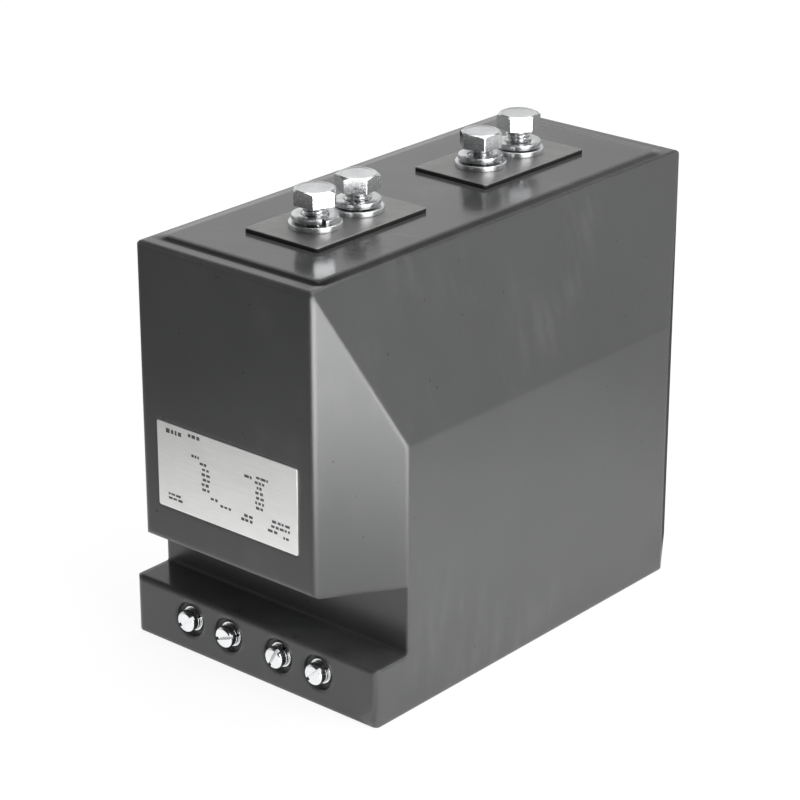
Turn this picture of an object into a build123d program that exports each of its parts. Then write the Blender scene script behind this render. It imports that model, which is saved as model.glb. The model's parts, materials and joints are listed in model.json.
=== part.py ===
from build123d import *
import math
import os

# Indoor block current transformer for medium voltage switchgear, cast in resin.
# Frame: origin at the bottom centre of the block, X across its width, Y along its length with the
# terminal ledge and the nameplate on the -Y side, Z up. All sizes are in millimetres.

# Resin body
body_width = 148.0
body_length = 260.0
shoulder_height = 201.5
bend_height = 128.0
top_width = 102.0
corner_chamfer_length = 35.0
corner_radius = 3.0
bend_radius = 6.0
end_edge_radius = 2.0
soft_edge_radius = 1.2
slot_corner_radius = 1.0

# Terminal ledge and the slot above it
ledge_height = 28.5
ledge_setback = 14.0
slot_height = 33.0
slot_depth = 35.0

# Raised plateau that carries the primary terminals, with a gentle slope all round
plateau_height = 1.0
plateau_slope_run = 5.0
plateau_end_setback = 7.0
plateau_side_setback = 1.5
plateau_corner_radius = 2.0

# Primary terminal plates
terminal_end_margin = 36.5
terminal_gap = 41.0
terminal_width = 43.0
terminal_thickness = 2.0
terminal_corner_radius = 1.0

# Primary bolts, M12, with their washers and the threaded bushes below the plates
primary_thread = 12.0
primary_bolt_spacing = 28.0
primary_bolt_length = 25.0
primary_bare_shanks = (5.0, 4.7, 4.0, 6.4)
primary_head_flats = 18.0
primary_head_thickness = 7.5
primary_head_chamfer_angle = 30.0
primary_head_face_share = 0.95
primary_head_sides = 6
primary_head_turns = (8.0, 34.0, 19.0, 46.0)
primary_hole_clearance = 0.5
primary_washer_diameter = 24.0
primary_washer_thickness = 2.5
primary_spring_diameter = 21.0
primary_spring_thickness = 2.5
primary_bush_diameter = 18.0
primary_bush_length = 24.0
primary_bush_floor = 4.0
bush_groove_depth = 1.0
bush_groove_width = 3.0
spring_clearance = 0.2
spring_split_angle = 12.0
bolt_end_chamfer = 1.0

# Primary bar, one turn of flat copper through both ring cores
bar_width = 40.0
bar_thickness = 8.0
bar_height = 84.0
bar_bend_radius = 12.0

# Ring cores and their toroidal windings
core_inner_radius = 35.0
core_outer_radius = 57.0
winding_thickness = 3.0
winding_end_thickness = 4.0
winding_corner_radius = 2.0
core_length_difference = 10.0
core_gap = 8.0
bar_winding_clearance = 10.0

# Secondary terminals in the front of the ledge, M6
secondary_thread = 6.0
secondary_height = 16.5
secondary_inner_offset = 15.4
secondary_pitch = 24.0
secondary_recess_diameter = 17.0
secondary_recess_depth = 3.0
secondary_bush_diameter = 12.0
secondary_bush_length = 22.0
secondary_bush_floor = 3.0
secondary_washer_diameter = 12.0
secondary_washer_thickness = 1.2
secondary_hole_clearance = 0.2
secondary_spring_diameter = 10.4
secondary_spring_thickness = 1.6
secondary_head_diameter = 10.0
secondary_head_thickness = 3.9
secondary_head_edge_radius = 0.8
secondary_drive_width = 1.6
secondary_drive_depth = 2.0
secondary_drive_turns = (35.0, 20.0, 62.0, 44.0)
secondary_screw_length = 14.0

# Secondary leads from the windings to the terminal bushes
lead_diameter = 3.0
lead_bend_radius = 6.0
lead_overlap = 2.0

# Threaded inserts in the underside, M12, for fixing the transformer
base_insert_spacing_x = 110.0
base_insert_end_margin = 45.0
base_insert_diameter = 18.0
base_insert_length = 22.0
base_insert_hole_radius = 5.1
base_insert_hole_depth = 16.0

# Nameplate, set in a shallow recess in the front face
nameplate_width = 84.0
nameplate_height = 41.0
nameplate_centre_height = 99.8
nameplate_thickness = 0.8
nameplate_recess = 0.5
nameplate_corner_radius = 1.0

# Places that follow from the sizes above
half_width = body_width / 2
half_length = body_length / 2
half_top = top_width / 2
side_edge_y = half_length - corner_chamfer_length
ledge_front_y = -half_length + ledge_setback
slot_wall_y = -half_length + slot_depth
slot_top = ledge_height + slot_height
terminal_length = half_length - terminal_end_margin - terminal_gap / 2
terminal_spacing = terminal_length + terminal_gap
plateau_top = shoulder_height + plateau_height
plate_top = plateau_top + terminal_thickness
winding_inner_radius = core_inner_radius - winding_thickness
winding_outer_radius = core_outer_radius + winding_thickness
windings_room = terminal_spacing - bar_thickness - 2 * bar_winding_clearance
both_cores_length = windings_room - core_gap - 4 * winding_end_thickness
measuring_core_length = (both_cores_length - core_length_difference) / 2
protection_core_length = measuring_core_length + core_length_difference
measuring_length = measuring_core_length + 2 * winding_end_thickness
protection_length = protection_core_length + 2 * winding_end_thickness
cores_length = measuring_length + core_gap + protection_length
measuring_y = -cores_length / 2 + measuring_length / 2
protection_y = cores_length / 2 - protection_length / 2
secondary_outer_offset = secondary_inner_offset + secondary_pitch
recess_floor_y = ledge_front_y + secondary_recess_depth
base_insert_spacing_y = body_length - 2 * base_insert_end_margin
overshoot = max(corner_radius, bend_radius, end_edge_radius) * 2

BOTTOM = (Align.CENTER, Align.CENTER, Align.MIN)
TOP = (Align.CENTER, Align.CENTER, Align.MAX)


def rounded_outline(points, radii):
    """A closed outline with each corner rounded by its own radius, where 0 keeps it sharp."""
    outline = Polygon(*points, align=None)
    for point, radius in zip(points, radii):
        if radius > 0:
            corner = min(outline.vertices(), key=lambda v: math.dist((v.X, v.Y), point))
            outline = fillet(corner, radius)
    return outline


def along_front(shape):
    """Turn a shape made about +Z so that its axis points out of the front, along -Y."""
    return Rot(90, 0, 0) * shape


def block_section():
    """Front view of the block: upright below the bend, and above it sides that lean inwards."""
    slope = (half_width - half_top) / (shoulder_height - bend_height)
    apex_half = half_top - slope * overshoot
    apex = shoulder_height + overshoot
    points = [
        (-half_width, -overshoot),
        (half_width, -overshoot),
        (half_width, bend_height),
        (apex_half, apex),
        (-apex_half, apex),
        (-half_width, bend_height),
    ]
    outline = rounded_outline(points, [0, 0, bend_radius, 0, 0, bend_radius])
    return extrude(Plane.XZ * outline, amount=half_length + overshoot, both=True)


def block_side_view():
    """Side view of the block: the terminal ledge, the slot above it and the overhanging front."""
    points = [
        (ledge_front_y, 0),
        (half_length, 0),
        (half_length, shoulder_height),
        (-half_length, shoulder_height),
        (-half_length, slot_top),
        (slot_wall_y, slot_top),
        (slot_wall_y, ledge_height),
        (ledge_front_y, ledge_height),
    ]
    edge = end_edge_radius
    inner = slot_corner_radius
    outline = rounded_outline(points, [0, 0, edge, edge, edge, inner, inner, edge])
    return extrude(Plane.YZ * outline, amount=half_width + overshoot, both=True)


def block_plan():
    """Plan of the block: an octagon above the slot, and below it square corners at the ledge."""
    upper_points = [
        (-half_top, -half_length),
        (half_top, -half_length),
        (half_width, -side_edge_y),
        (half_width, side_edge_y),
        (half_top, half_length),
        (-half_top, half_length),
        (-half_width, side_edge_y),
        (-half_width, -side_edge_y),
    ]
    radius = corner_radius
    upper = rounded_outline(upper_points, [radius, radius, 0, radius, radius, radius, radius, 0])
    lower_points = [
        (-half_width, ledge_front_y),
        (half_width, ledge_front_y),
        (half_width, side_edge_y),
        (half_top, half_length),
        (-half_top, half_length),
        (-half_width, side_edge_y),
    ]
    lower = rounded_outline(lower_points, [radius] * len(lower_points))
    split_height = ledge_height + slot_height / 2
    upper_block = extrude(upper, amount=shoulder_height + 2 * overshoot)
    lower_block = extrude(lower, amount=split_height + overshoot)
    return Pos(0, 0, -overshoot) * (upper_block + lower_block)


def plateau():
    """Low plateau on the top of the block, with a gentle slope up to it on all four sides."""
    width = top_width - 2 * plateau_side_setback
    length = body_length - 2 * plateau_end_setback
    radius = plateau_corner_radius
    top_outline = RectangleRounded(width - 2 * plateau_slope_run, length - 2 * plateau_slope_run, radius)
    foot_outline = RectangleRounded(width, length, radius + plateau_slope_run)
    return loft([Pos(0, 0, shoulder_height) * foot_outline, Pos(0, 0, plateau_top) * top_outline])


def primary_places():
    """The four primary bolt places, from the front to the rear, as (x, y)."""
    half_pitch = primary_bolt_spacing / 2
    centres = (-terminal_spacing / 2, terminal_spacing / 2)
    return [(0.0, centre + side * half_pitch) for centre in centres for side in (-1, 1)]


def secondary_places():
    """The four secondary terminal places across the ledge, as x."""
    inner = secondary_inner_offset
    outer = secondary_outer_offset
    return [-outer, -inner, inner, outer]


def base_places():
    """The four base insert places, as (x, y)."""
    half_x = base_insert_spacing_x / 2
    half_y = base_insert_spacing_y / 2
    return [(x, y) for y in (-half_y, half_y) for x in (-half_x, half_x)]


def grooved_bush(diameter, length, hole_radius, hole_depth):
    """Blind threaded bush with its mouth at z = 0 and two grip grooves, going down along -Z."""
    body = Cylinder(diameter / 2, length, align=TOP)
    neck = Cylinder(diameter / 2 - bush_groove_depth, bush_groove_width)
    grip = Cylinder(diameter, bush_groove_width) - neck
    for share in (1 / 3, 2 / 3):
        body -= Pos(0, 0, -length * share) * grip
    return body - Cylinder(hole_radius, hole_depth, align=TOP)


def split_ring(inner_radius, outer_radius, thickness):
    """Spring washer standing on z = 0: a flat ring with one cut through it."""
    width = outer_radius - inner_radius
    section = Pos(inner_radius + width / 2, thickness / 2) * Rectangle(width, thickness)
    return revolve(Plane.XZ * section, Axis.Z, revolution_arc=360 - spring_split_angle)


def flat_ring(inner_radius, outer_radius, thickness):
    """Flat washer standing on z = 0."""
    return extrude(Circle(outer_radius) - Circle(inner_radius), amount=thickness)


def hex_bolt():
    """Hexagon bolt with the bearing face of its head at z = 0 and its shank going down."""
    corner = primary_head_flats / 2 / math.cos(math.pi / primary_head_sides)
    face_radius = primary_head_flats / 2 * primary_head_face_share
    drop = (corner - face_radius) * math.tan(math.radians(primary_head_chamfer_angle))
    prism = extrude(RegularPolygon(corner, primary_head_sides), amount=primary_head_thickness)
    turned_section = Polygon(
        (0, 0),
        (corner, 0),
        (corner, primary_head_thickness - drop),
        (face_radius, primary_head_thickness),
        (0, primary_head_thickness),
        align=None,
    )
    head = prism & revolve(Plane.XZ * turned_section, Axis.Z)
    shank = Cylinder(primary_thread / 2, primary_bolt_length, align=TOP)
    end = shank.edges().sort_by(Axis.Z)[0]
    return head + chamfer(end, bolt_end_chamfer)


def cheese_screw():
    """Slotted cheese head screw with the bearing face of its head at z = 0."""
    head = Cylinder(secondary_head_diameter / 2, secondary_head_thickness, align=BOTTOM)
    head = fillet(head.edges().sort_by(Axis.Z)[-1], secondary_head_edge_radius)
    drive = Box(secondary_head_diameter, secondary_drive_width, secondary_drive_depth, align=TOP)
    head -= Pos(0, 0, secondary_head_thickness) * drive
    shank = Cylinder(secondary_thread / 2, secondary_screw_length, align=TOP)
    return head + shank


def ring_about_bar(inner_radius, outer_radius, length, centre_y, edge_radius):
    """Ring round the primary bar's horizontal run, with its axis along Y."""
    ring = extrude(Circle(outer_radius) - Circle(inner_radius), amount=length)
    if edge_radius > 0:
        ring = fillet(ring.edges().filter_by(GeomType.CIRCLE), edge_radius)
    return Pos(0, centre_y + length / 2, bar_height) * along_front(ring)


def core(length, centre_y):
    """Ring core wound from steel strip."""
    return ring_about_bar(core_inner_radius, core_outer_radius, length, centre_y, 0)


def coil_envelope(core_length, centre_y):
    """Outer form of a winding with its core inside."""
    length = core_length + 2 * winding_end_thickness
    inner = winding_inner_radius
    outer = winding_outer_radius
    return ring_about_bar(inner, outer, length, centre_y, winding_corner_radius)


def winding(core_length, centre_y):
    """Toroidal winding, closed round its core."""
    return coil_envelope(core_length, centre_y) - core(core_length, centre_y)


def primary_bar():
    """U-shaped copper bar: up to both terminal plates and straight through the two cores."""
    outer = terminal_spacing / 2 + bar_thickness / 2
    inner = terminal_spacing / 2 - bar_thickness / 2
    low = bar_height - bar_thickness / 2
    high = bar_height + bar_thickness / 2
    points = [
        (-outer, low),
        (outer, low),
        (outer, plateau_top),
        (inner, plateau_top),
        (inner, high),
        (-inner, high),
        (-inner, plateau_top),
        (-outer, plateau_top),
    ]
    big = bar_bend_radius
    small = bar_bend_radius - bar_thickness
    outline = rounded_outline(points, [big, big, 0, 0, small, small, 0, 0])
    return extrude(Plane.YZ * outline, amount=bar_width / 2, both=True)


def terminal_plate(centre_y):
    """Flat primary terminal plate on the plateau, with clearance holes for its two bolts."""
    outline = RectangleRounded(terminal_width, terminal_length, terminal_corner_radius)
    hole = Circle(primary_thread / 2 + primary_hole_clearance)
    for side in (-1, 1):
        outline -= Pos(0, side * primary_bolt_spacing / 2) * hole
    return Pos(0, centre_y, plateau_top) * extrude(outline, amount=terminal_thickness)


def primary_bushes():
    """Threaded bushes brazed under the terminal plates."""
    depth = primary_bush_length - primary_bush_floor
    bush = grooved_bush(primary_bush_diameter, primary_bush_length, primary_thread / 2, depth)
    return [Pos(x, y, plateau_top) * bush for x, y in primary_places()]


def primary_flat_washers():
    """Flat washers on the terminal plates."""
    bore = primary_thread / 2 + primary_hole_clearance
    ring = flat_ring(bore, primary_washer_diameter / 2, primary_washer_thickness)
    return [Pos(x, y, plate_top) * ring for x, y in primary_places()]


def primary_spring_washers():
    """Spring washers on the flat washers."""
    bore = primary_thread / 2 + spring_clearance
    ring = split_ring(bore, primary_spring_diameter / 2, primary_spring_thickness)
    level = plate_top + primary_washer_thickness
    turns = primary_head_turns
    return [Pos(x, y, level) * Rot(0, 0, turn) * ring for (x, y), turn in zip(primary_places(), turns)]


def primary_bolts():
    """Primary bolts, screwed in loosely, each left proud of its spring washer by its own bare shank."""
    seat = plate_top + primary_washer_thickness + primary_spring_thickness
    bolt = hex_bolt()
    bolts = []
    for (x, y), turn, bare in zip(primary_places(), primary_head_turns, primary_bare_shanks):
        bolts.append(Pos(x, y, seat + bare) * Rot(0, 0, turn) * bolt)
    return bolts


def secondary_at(x, y, shape):
    """Set a shape made about +Z at a secondary terminal, pointing out of the ledge."""
    return Pos(x, y, secondary_height) * along_front(shape)


def secondary_bushes():
    """Brass terminal bushes with their faces level with the floors of the recesses."""
    depth = secondary_bush_length - secondary_bush_floor
    bush = grooved_bush(secondary_bush_diameter, secondary_bush_length, secondary_thread / 2, depth)
    return [secondary_at(x, recess_floor_y, bush) for x in secondary_places()]


def secondary_flat_washers():
    """Flat washers on the terminal bushes."""
    bore = secondary_thread / 2 + secondary_hole_clearance
    ring = flat_ring(bore, secondary_washer_diameter / 2, secondary_washer_thickness)
    return [secondary_at(x, recess_floor_y, ring) for x in secondary_places()]


def secondary_spring_washers():
    """Spring washers under the screw heads."""
    bore = secondary_thread / 2 + spring_clearance
    ring = split_ring(bore, secondary_spring_diameter / 2, secondary_spring_thickness)
    face_y = recess_floor_y - secondary_washer_thickness
    turns = secondary_drive_turns
    places = zip(secondary_places(), turns)
    return [secondary_at(x, face_y, Rot(0, 0, turn) * ring) for x, turn in places]


def secondary_screws():
    """Secondary terminal screws, tightened on their washers."""
    face_y = recess_floor_y - secondary_washer_thickness - secondary_spring_thickness
    screw = cheese_screw()
    places = zip(secondary_places(), secondary_drive_turns)
    return [secondary_at(x, face_y, Rot(0, 0, turn) * screw) for x, turn in places]


def secondary_lead(x, core_length, centre_y):
    """Lead from the back of a terminal bush, level under the cores and up into its winding."""
    start_y = recess_floor_y + secondary_bush_length
    rise = math.sqrt(winding_outer_radius**2 - x**2) - lead_overlap
    points = [
        (x, start_y, secondary_height),
        (x, centre_y, secondary_height),
        (x, centre_y, bar_height - rise),
    ]
    path = FilletPolyline(*points, radius=lead_bend_radius)
    section = Plane(origin=points[0], z_dir=(0, 1, 0)) * Circle(lead_diameter / 2)
    return sweep(section, path=path) - coil_envelope(core_length, centre_y)


def base_inserts():
    """Threaded inserts cast into the underside, with their mouths level with the base."""
    insert = grooved_bush(
        base_insert_diameter, base_insert_length, base_insert_hole_radius, base_insert_hole_depth
    )
    return [Pos(x, y, 0) * Rot(180, 0, 0) * insert for x, y in base_places()]


def nameplate():
    """Thin metal nameplate on the front face."""
    outline = RectangleRounded(nameplate_width, nameplate_height, nameplate_corner_radius)
    plate = along_front(extrude(outline, amount=nameplate_thickness))
    return Pos(0, -half_length + nameplate_recess, nameplate_centre_height) * plate


def recess_tools():
    """Round recesses in the ledge round the secondary terminals."""
    tool = Cylinder(secondary_recess_diameter / 2, secondary_recess_depth + overshoot, align=BOTTOM)
    return [secondary_at(x, recess_floor_y, tool) for x in secondary_places()]


def thread_plugs():
    """Plugs that fill the threaded holes while the resin is cast, so that none runs into them."""
    primary = Cylinder(primary_thread / 2, primary_bush_length - primary_bush_floor, align=TOP)
    secondary = Cylinder(secondary_thread / 2, secondary_bush_length - secondary_bush_floor, align=TOP)
    base = Cylinder(base_insert_hole_radius, base_insert_hole_depth, align=BOTTOM)
    plugs = [Pos(x, y, plateau_top) * primary for x, y in primary_places()]
    plugs += [secondary_at(x, recess_floor_y, secondary) for x in secondary_places()]
    plugs += [Pos(x, y, 0) * base for x, y in base_places()]
    return plugs


def soft_edges(block):
    """Round the edges of the block that its three views leave sharp: round the base and along the top."""
    base = block.edges().group_by(Axis.Z)[0]
    block = fillet(base, soft_edge_radius)
    top = block.faces().sort_by(Axis.Z)[-1]
    sides = [edge for edge in top.edges() if abs(edge.center().X) > half_top - corner_radius]
    return fillet(sides, soft_edge_radius)


def resin_body(embedded):
    """The cast resin block, moulded round everything that is embedded in it."""
    block = block_plan() & block_section()
    block = soft_edges(block & block_side_view())
    body = block + plateau()
    for tool in recess_tools() + thread_plugs() + embedded:
        body -= tool
    return body


def save(name, shapes):
    """Write one node, one solid or a group of like solids, as a STEP file."""
    solids = []
    for shape in shapes:
        solids += shape.solids()
    whole = solids[0] if len(solids) == 1 else Compound(children=solids)
    export_step(whole, f"parts/{name}.step")


def build():
    """Make every piece and write the parts folder."""
    front_y = -terminal_spacing / 2
    rear_y = terminal_spacing / 2
    places = secondary_places()
    measuring = (measuring_core_length, measuring_y)
    protection = (protection_core_length, protection_y)
    nodes = {
        "front_terminal_plate": [terminal_plate(front_y)],
        "rear_terminal_plate": [terminal_plate(rear_y)],
        "primary_bar": [primary_bar()],
        "primary_bushes": primary_bushes(),
        "primary_flat_washers": primary_flat_washers(),
        "primary_spring_washers": primary_spring_washers(),
        "primary_bolts": primary_bolts(),
        "measuring_core": [core(*measuring)],
        "measuring_winding": [winding(*measuring)],
        "protection_core": [core(*protection)],
        "protection_winding": [winding(*protection)],
        "measuring_lead_start": [secondary_lead(places[0], *measuring)],
        "measuring_lead_end": [secondary_lead(places[1], *measuring)],
        "protection_lead_start": [secondary_lead(places[2], *protection)],
        "protection_lead_end": [secondary_lead(places[3], *protection)],
        "secondary_bushes": secondary_bushes(),
        "secondary_flat_washers": secondary_flat_washers(),
        "secondary_spring_washers": secondary_spring_washers(),
        "secondary_screws": secondary_screws(),
        "base_inserts": base_inserts(),
        "nameplate": [nameplate()],
    }
    embedded = [coil_envelope(*measuring), coil_envelope(*protection)]
    cast_in = ["primary_bar", "primary_bushes", "secondary_bushes", "base_inserts", "nameplate"]
    leads = [name for name in nodes if "_lead_" in name]
    for name in cast_in + leads:
        embedded += nodes[name]
    nodes["resin_body"] = [resin_body(embedded)]
    os.makedirs("parts", exist_ok=True)
    for name, shapes in nodes.items():
        save(name, shapes)


build()
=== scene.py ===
"""Looks of an indoor cast resin current transformer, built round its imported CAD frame.

Every length is in metres in the frame's own axes: +X across the block, +Y from the nameplate and
terminal ledge to the rear, +Z up, with the origin under the middle of the block.
"""

from __future__ import annotations

import json
import logging
import math
from dataclasses import dataclass, field
from enum import Enum
from functools import partial, reduce

import bmesh
import bpy
import numpy as np
from mathutils import Matrix

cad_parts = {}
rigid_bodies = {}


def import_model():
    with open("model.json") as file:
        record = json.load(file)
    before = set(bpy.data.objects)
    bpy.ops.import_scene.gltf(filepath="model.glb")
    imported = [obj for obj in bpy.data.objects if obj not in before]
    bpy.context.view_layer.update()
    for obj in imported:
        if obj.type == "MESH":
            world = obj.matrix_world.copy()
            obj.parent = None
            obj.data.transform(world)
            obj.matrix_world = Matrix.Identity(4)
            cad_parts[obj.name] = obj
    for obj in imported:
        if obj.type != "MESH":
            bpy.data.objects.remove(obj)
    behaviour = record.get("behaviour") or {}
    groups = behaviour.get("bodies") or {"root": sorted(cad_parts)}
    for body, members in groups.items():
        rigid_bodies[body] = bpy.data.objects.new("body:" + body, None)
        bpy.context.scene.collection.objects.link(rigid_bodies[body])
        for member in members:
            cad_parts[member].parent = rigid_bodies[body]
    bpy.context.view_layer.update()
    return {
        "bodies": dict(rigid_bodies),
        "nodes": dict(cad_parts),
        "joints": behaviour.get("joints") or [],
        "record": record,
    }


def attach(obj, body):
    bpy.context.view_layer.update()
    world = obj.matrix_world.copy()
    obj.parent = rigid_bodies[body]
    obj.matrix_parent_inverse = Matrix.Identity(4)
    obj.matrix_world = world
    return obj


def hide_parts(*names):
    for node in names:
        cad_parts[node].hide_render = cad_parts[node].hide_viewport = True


LOG = logging.getLogger("current_transformer")
MM = 0.001
FULL_TURN = 2 * math.pi
WELD_DISTANCE = 2e-7
LATHE_ATTRIBUTE = "lathe"
THREAD_DEPTH = 0.6134  # depth of a metric thread for a pitch of 1
MIX_COLOURS = (6, 7)  # the Mix node's colour inputs, whose names repeat
MIX_RESULT = 2
WHITE = (1.0, 1.0, 1.0, 1.0)

Points = np.ndarray
Faces = np.ndarray
Surface = tuple[Points, Faces, Points]
Triple = tuple[float, float, float]
Step = tuple[float, float, float, float]
Socket = bpy.types.NodeSocket


class MetalTone(Enum):
    """Base colours of the bare and plated metals."""

    ZINC = (0.74, 0.75, 0.76)
    TIN = (0.34, 0.34, 0.335)
    BRASS = (0.74, 0.56, 0.26)
    COPPER = (0.80, 0.42, 0.27)
    CORE_STEEL = (0.36, 0.37, 0.39)
    ALUMINIUM = (0.80, 0.80, 0.79)


# Surfaces worked out as whole arrays


def grid_faces(rows: int, columns: int) -> Faces:
    """Quads of a grid whose columns close on themselves.

    The quad at row i and column j joins (i, j), (i, j + 1), (i + 1, j + 1) and (i + 1, j), and the
    last column is followed by the first.

    Args:
        rows: number of rings, one after the other.
        columns: number of points in each ring.

    Returns:
        Four point numbers for each quad.
    """
    i, j = np.meshgrid(np.arange(rows - 1), np.arange(columns), indexing="ij")
    after = (j + 1) % columns
    quads = [i * columns + j, i * columns + after, (i + 1) * columns + after, (i + 1) * columns + j]
    return np.stack(quads, axis=-1).reshape(-1, 4)


def lathe(radius: Points, height: Points, angles: Points) -> Surface:
    """Surface about the Z axis from a radius that may change along it and round it.

    The point at ring v and angle a is (r cos a, r sin a, z), with r = radius[v, a] and
    z = height[v, a]. The third array repeats (a, r, z) for each point, for finishes that follow
    the turning.

    Args:
        radius: rings by angles.
        height: rings by angles.
        angles: angle of each column, or of each point.

    Returns:
        Points, quads and the turning coordinates of each point.
    """
    radius, height, turn = np.broadcast_arrays(radius, height, angles)
    points = np.stack([radius * np.cos(turn), radius * np.sin(turn), height], axis=-1)
    turning = np.stack([turn, radius, height], axis=-1)
    return points.reshape(-1, 3), grid_faces(*radius.shape), turning.reshape(-1, 3)


def revolve(profile: list[tuple[float, float]], columns: int) -> Surface:
    """Surface of revolution of a profile of (radius, height) pairs about the Z axis.

    Args:
        profile: pairs in metres, from one end on the axis or ring to the other.
        columns: number of points round the axis.

    Returns:
        Points, quads and turning coordinates.
    """
    pairs = np.array(profile)
    angles = np.linspace(0, FULL_TURN, columns, endpoint=False)
    return lathe(pairs[:, :1], pairs[:, 1:], angles)


def arc(
    centre: tuple[float, float], radius: float, start: float, end: float, count: int
) -> list[tuple[float, float]]:
    """Points of an arc in the profile plane, centre + radius (cos t, sin t).

    Args:
        centre: centre of the arc as (radius, height).
        radius: radius of the arc.
        start: first angle in degrees.
        end: last angle in degrees.
        count: number of points.

    Returns:
        Pairs of (radius, height).
    """
    t = np.radians(np.linspace(start, end, count))
    return [(centre[0] + radius * math.cos(a), centre[1] + radius * math.sin(a)) for a in t]


def placed(surface: Surface, place: Triple, turn: float = 0.0, tilt: float = 0.0) -> Surface:
    """A surface turned about Z, then tilted about X, then moved to its place.

    Args:
        surface: points, quads and turning coordinates.
        place: where its origin goes.
        turn: turn about Z in degrees.
        tilt: turn about X in degrees.

    Returns:
        The moved surface.
    """
    rotation = Matrix.Rotation(math.radians(tilt), 3, "X") @ Matrix.Rotation(math.radians(turn), 3, "Z")
    points, faces, turning = surface
    return points @ np.array(rotation).T + np.array(place), faces, turning


def joined(surfaces: list[Surface]) -> Surface:
    """Several surfaces as one, with each one's quads counted on from the points before it.

    Args:
        surfaces: the surfaces to join.

    Returns:
        One surface.
    """
    starts = np.cumsum([0] + [len(s[0]) for s in surfaces[:-1]])
    points = np.concatenate([s[0] for s in surfaces])
    faces = np.concatenate([s[1] + start for s, start in zip(surfaces, starts)])
    return points, faces, np.concatenate([s[2] for s in surfaces])


def thread_depth(angles: Points, heights: Points, pitch: float, depth: float) -> Points:
    """Height of a metric thread above its root along a helix.

    With p = fraction of (z / pitch - angle / turn), the distance from the root is t = |2p - 1|, and
    the depth grows from 0 to full as t goes from 1/4 to 7/8, which leaves the flat root and crest.

    Args:
        angles: angle of each column.
        heights: height of each ring.
        pitch: rise of one turn.
        depth: full depth of the thread.

    Returns:
        Depth at each ring and angle.
    """
    phase = heights[:, None] / pitch - angles[None, :] / FULL_TURN
    t = np.abs(2 * (phase - np.floor(phase)) - 1)
    return depth * np.clip((t - 0.25) / 0.625, 0, 1)


def ring_section(width: float, thickness: float, edge: float, count: int = 4) -> Points:
    """Rounded rectangle round the origin, used as the section of a ring.

    Each corner is an arc of the edge radius, with its centre set in from the corner by that radius.

    Args:
        width: size along the first axis.
        thickness: size along the second axis.
        edge: radius of the corners.
        count: points of each corner.

    Returns:
        Closed outline, one pair for each point.
    """
    half_w = width / 2 - edge
    half_t = thickness / 2 - edge
    corners = [(half_w, half_t, 0), (-half_w, half_t, 90), (-half_w, -half_t, 180), (half_w, -half_t, 270)]
    outline = []
    for x, y, start in corners:
        outline += arc((x, y), edge, start, start + 90, count)
    return np.array(outline)


def new_piece(name: str, surface: Surface, sharp_angle: float = 32.0) -> bpy.types.Object:
    """Put a surface into a mesh, close its poles and seams, and face it outwards.

    Args:
        name: name of the object.
        surface: points, quads and turning coordinates.
        sharp_angle: edges bent more than this stay crisp, in degrees.

    Returns:
        The new object, at the origin.
    """
    points, faces, turning = surface
    mesh = bpy.data.meshes.new(name)
    mesh.vertices.add(len(points))
    mesh.vertices.foreach_set("co", points.astype(np.float32).ravel())
    mesh.loops.add(faces.size)
    mesh.loops.foreach_set("vertex_index", faces.astype(np.int32).ravel())
    mesh.polygons.add(len(faces))
    mesh.polygons.foreach_set("loop_start", np.arange(0, faces.size, 4, dtype=np.int32))
    mesh.update(calc_edges=True)
    attribute = mesh.attributes.new(LATHE_ATTRIBUTE, "FLOAT_VECTOR", "POINT")
    attribute.data.foreach_set("vector", turning.astype(np.float32).ravel())
    form = bmesh.new()
    form.from_mesh(mesh)
    bmesh.ops.remove_doubles(form, verts=form.verts, dist=WELD_DISTANCE)
    bmesh.ops.dissolve_degenerate(form, edges=form.edges, dist=WELD_DISTANCE)
    bmesh.ops.recalc_face_normals(form, faces=form.faces)
    form.to_mesh(mesh)
    form.free()
    mesh.polygons.foreach_set("use_smooth", np.ones(len(mesh.polygons), dtype=bool))
    mesh.set_sharp_from_angle(angle=math.radians(sharp_angle))
    piece = bpy.data.objects.new(name, mesh)
    bpy.context.scene.collection.objects.link(piece)
    return piece


# Node boards and the shared effects


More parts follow.
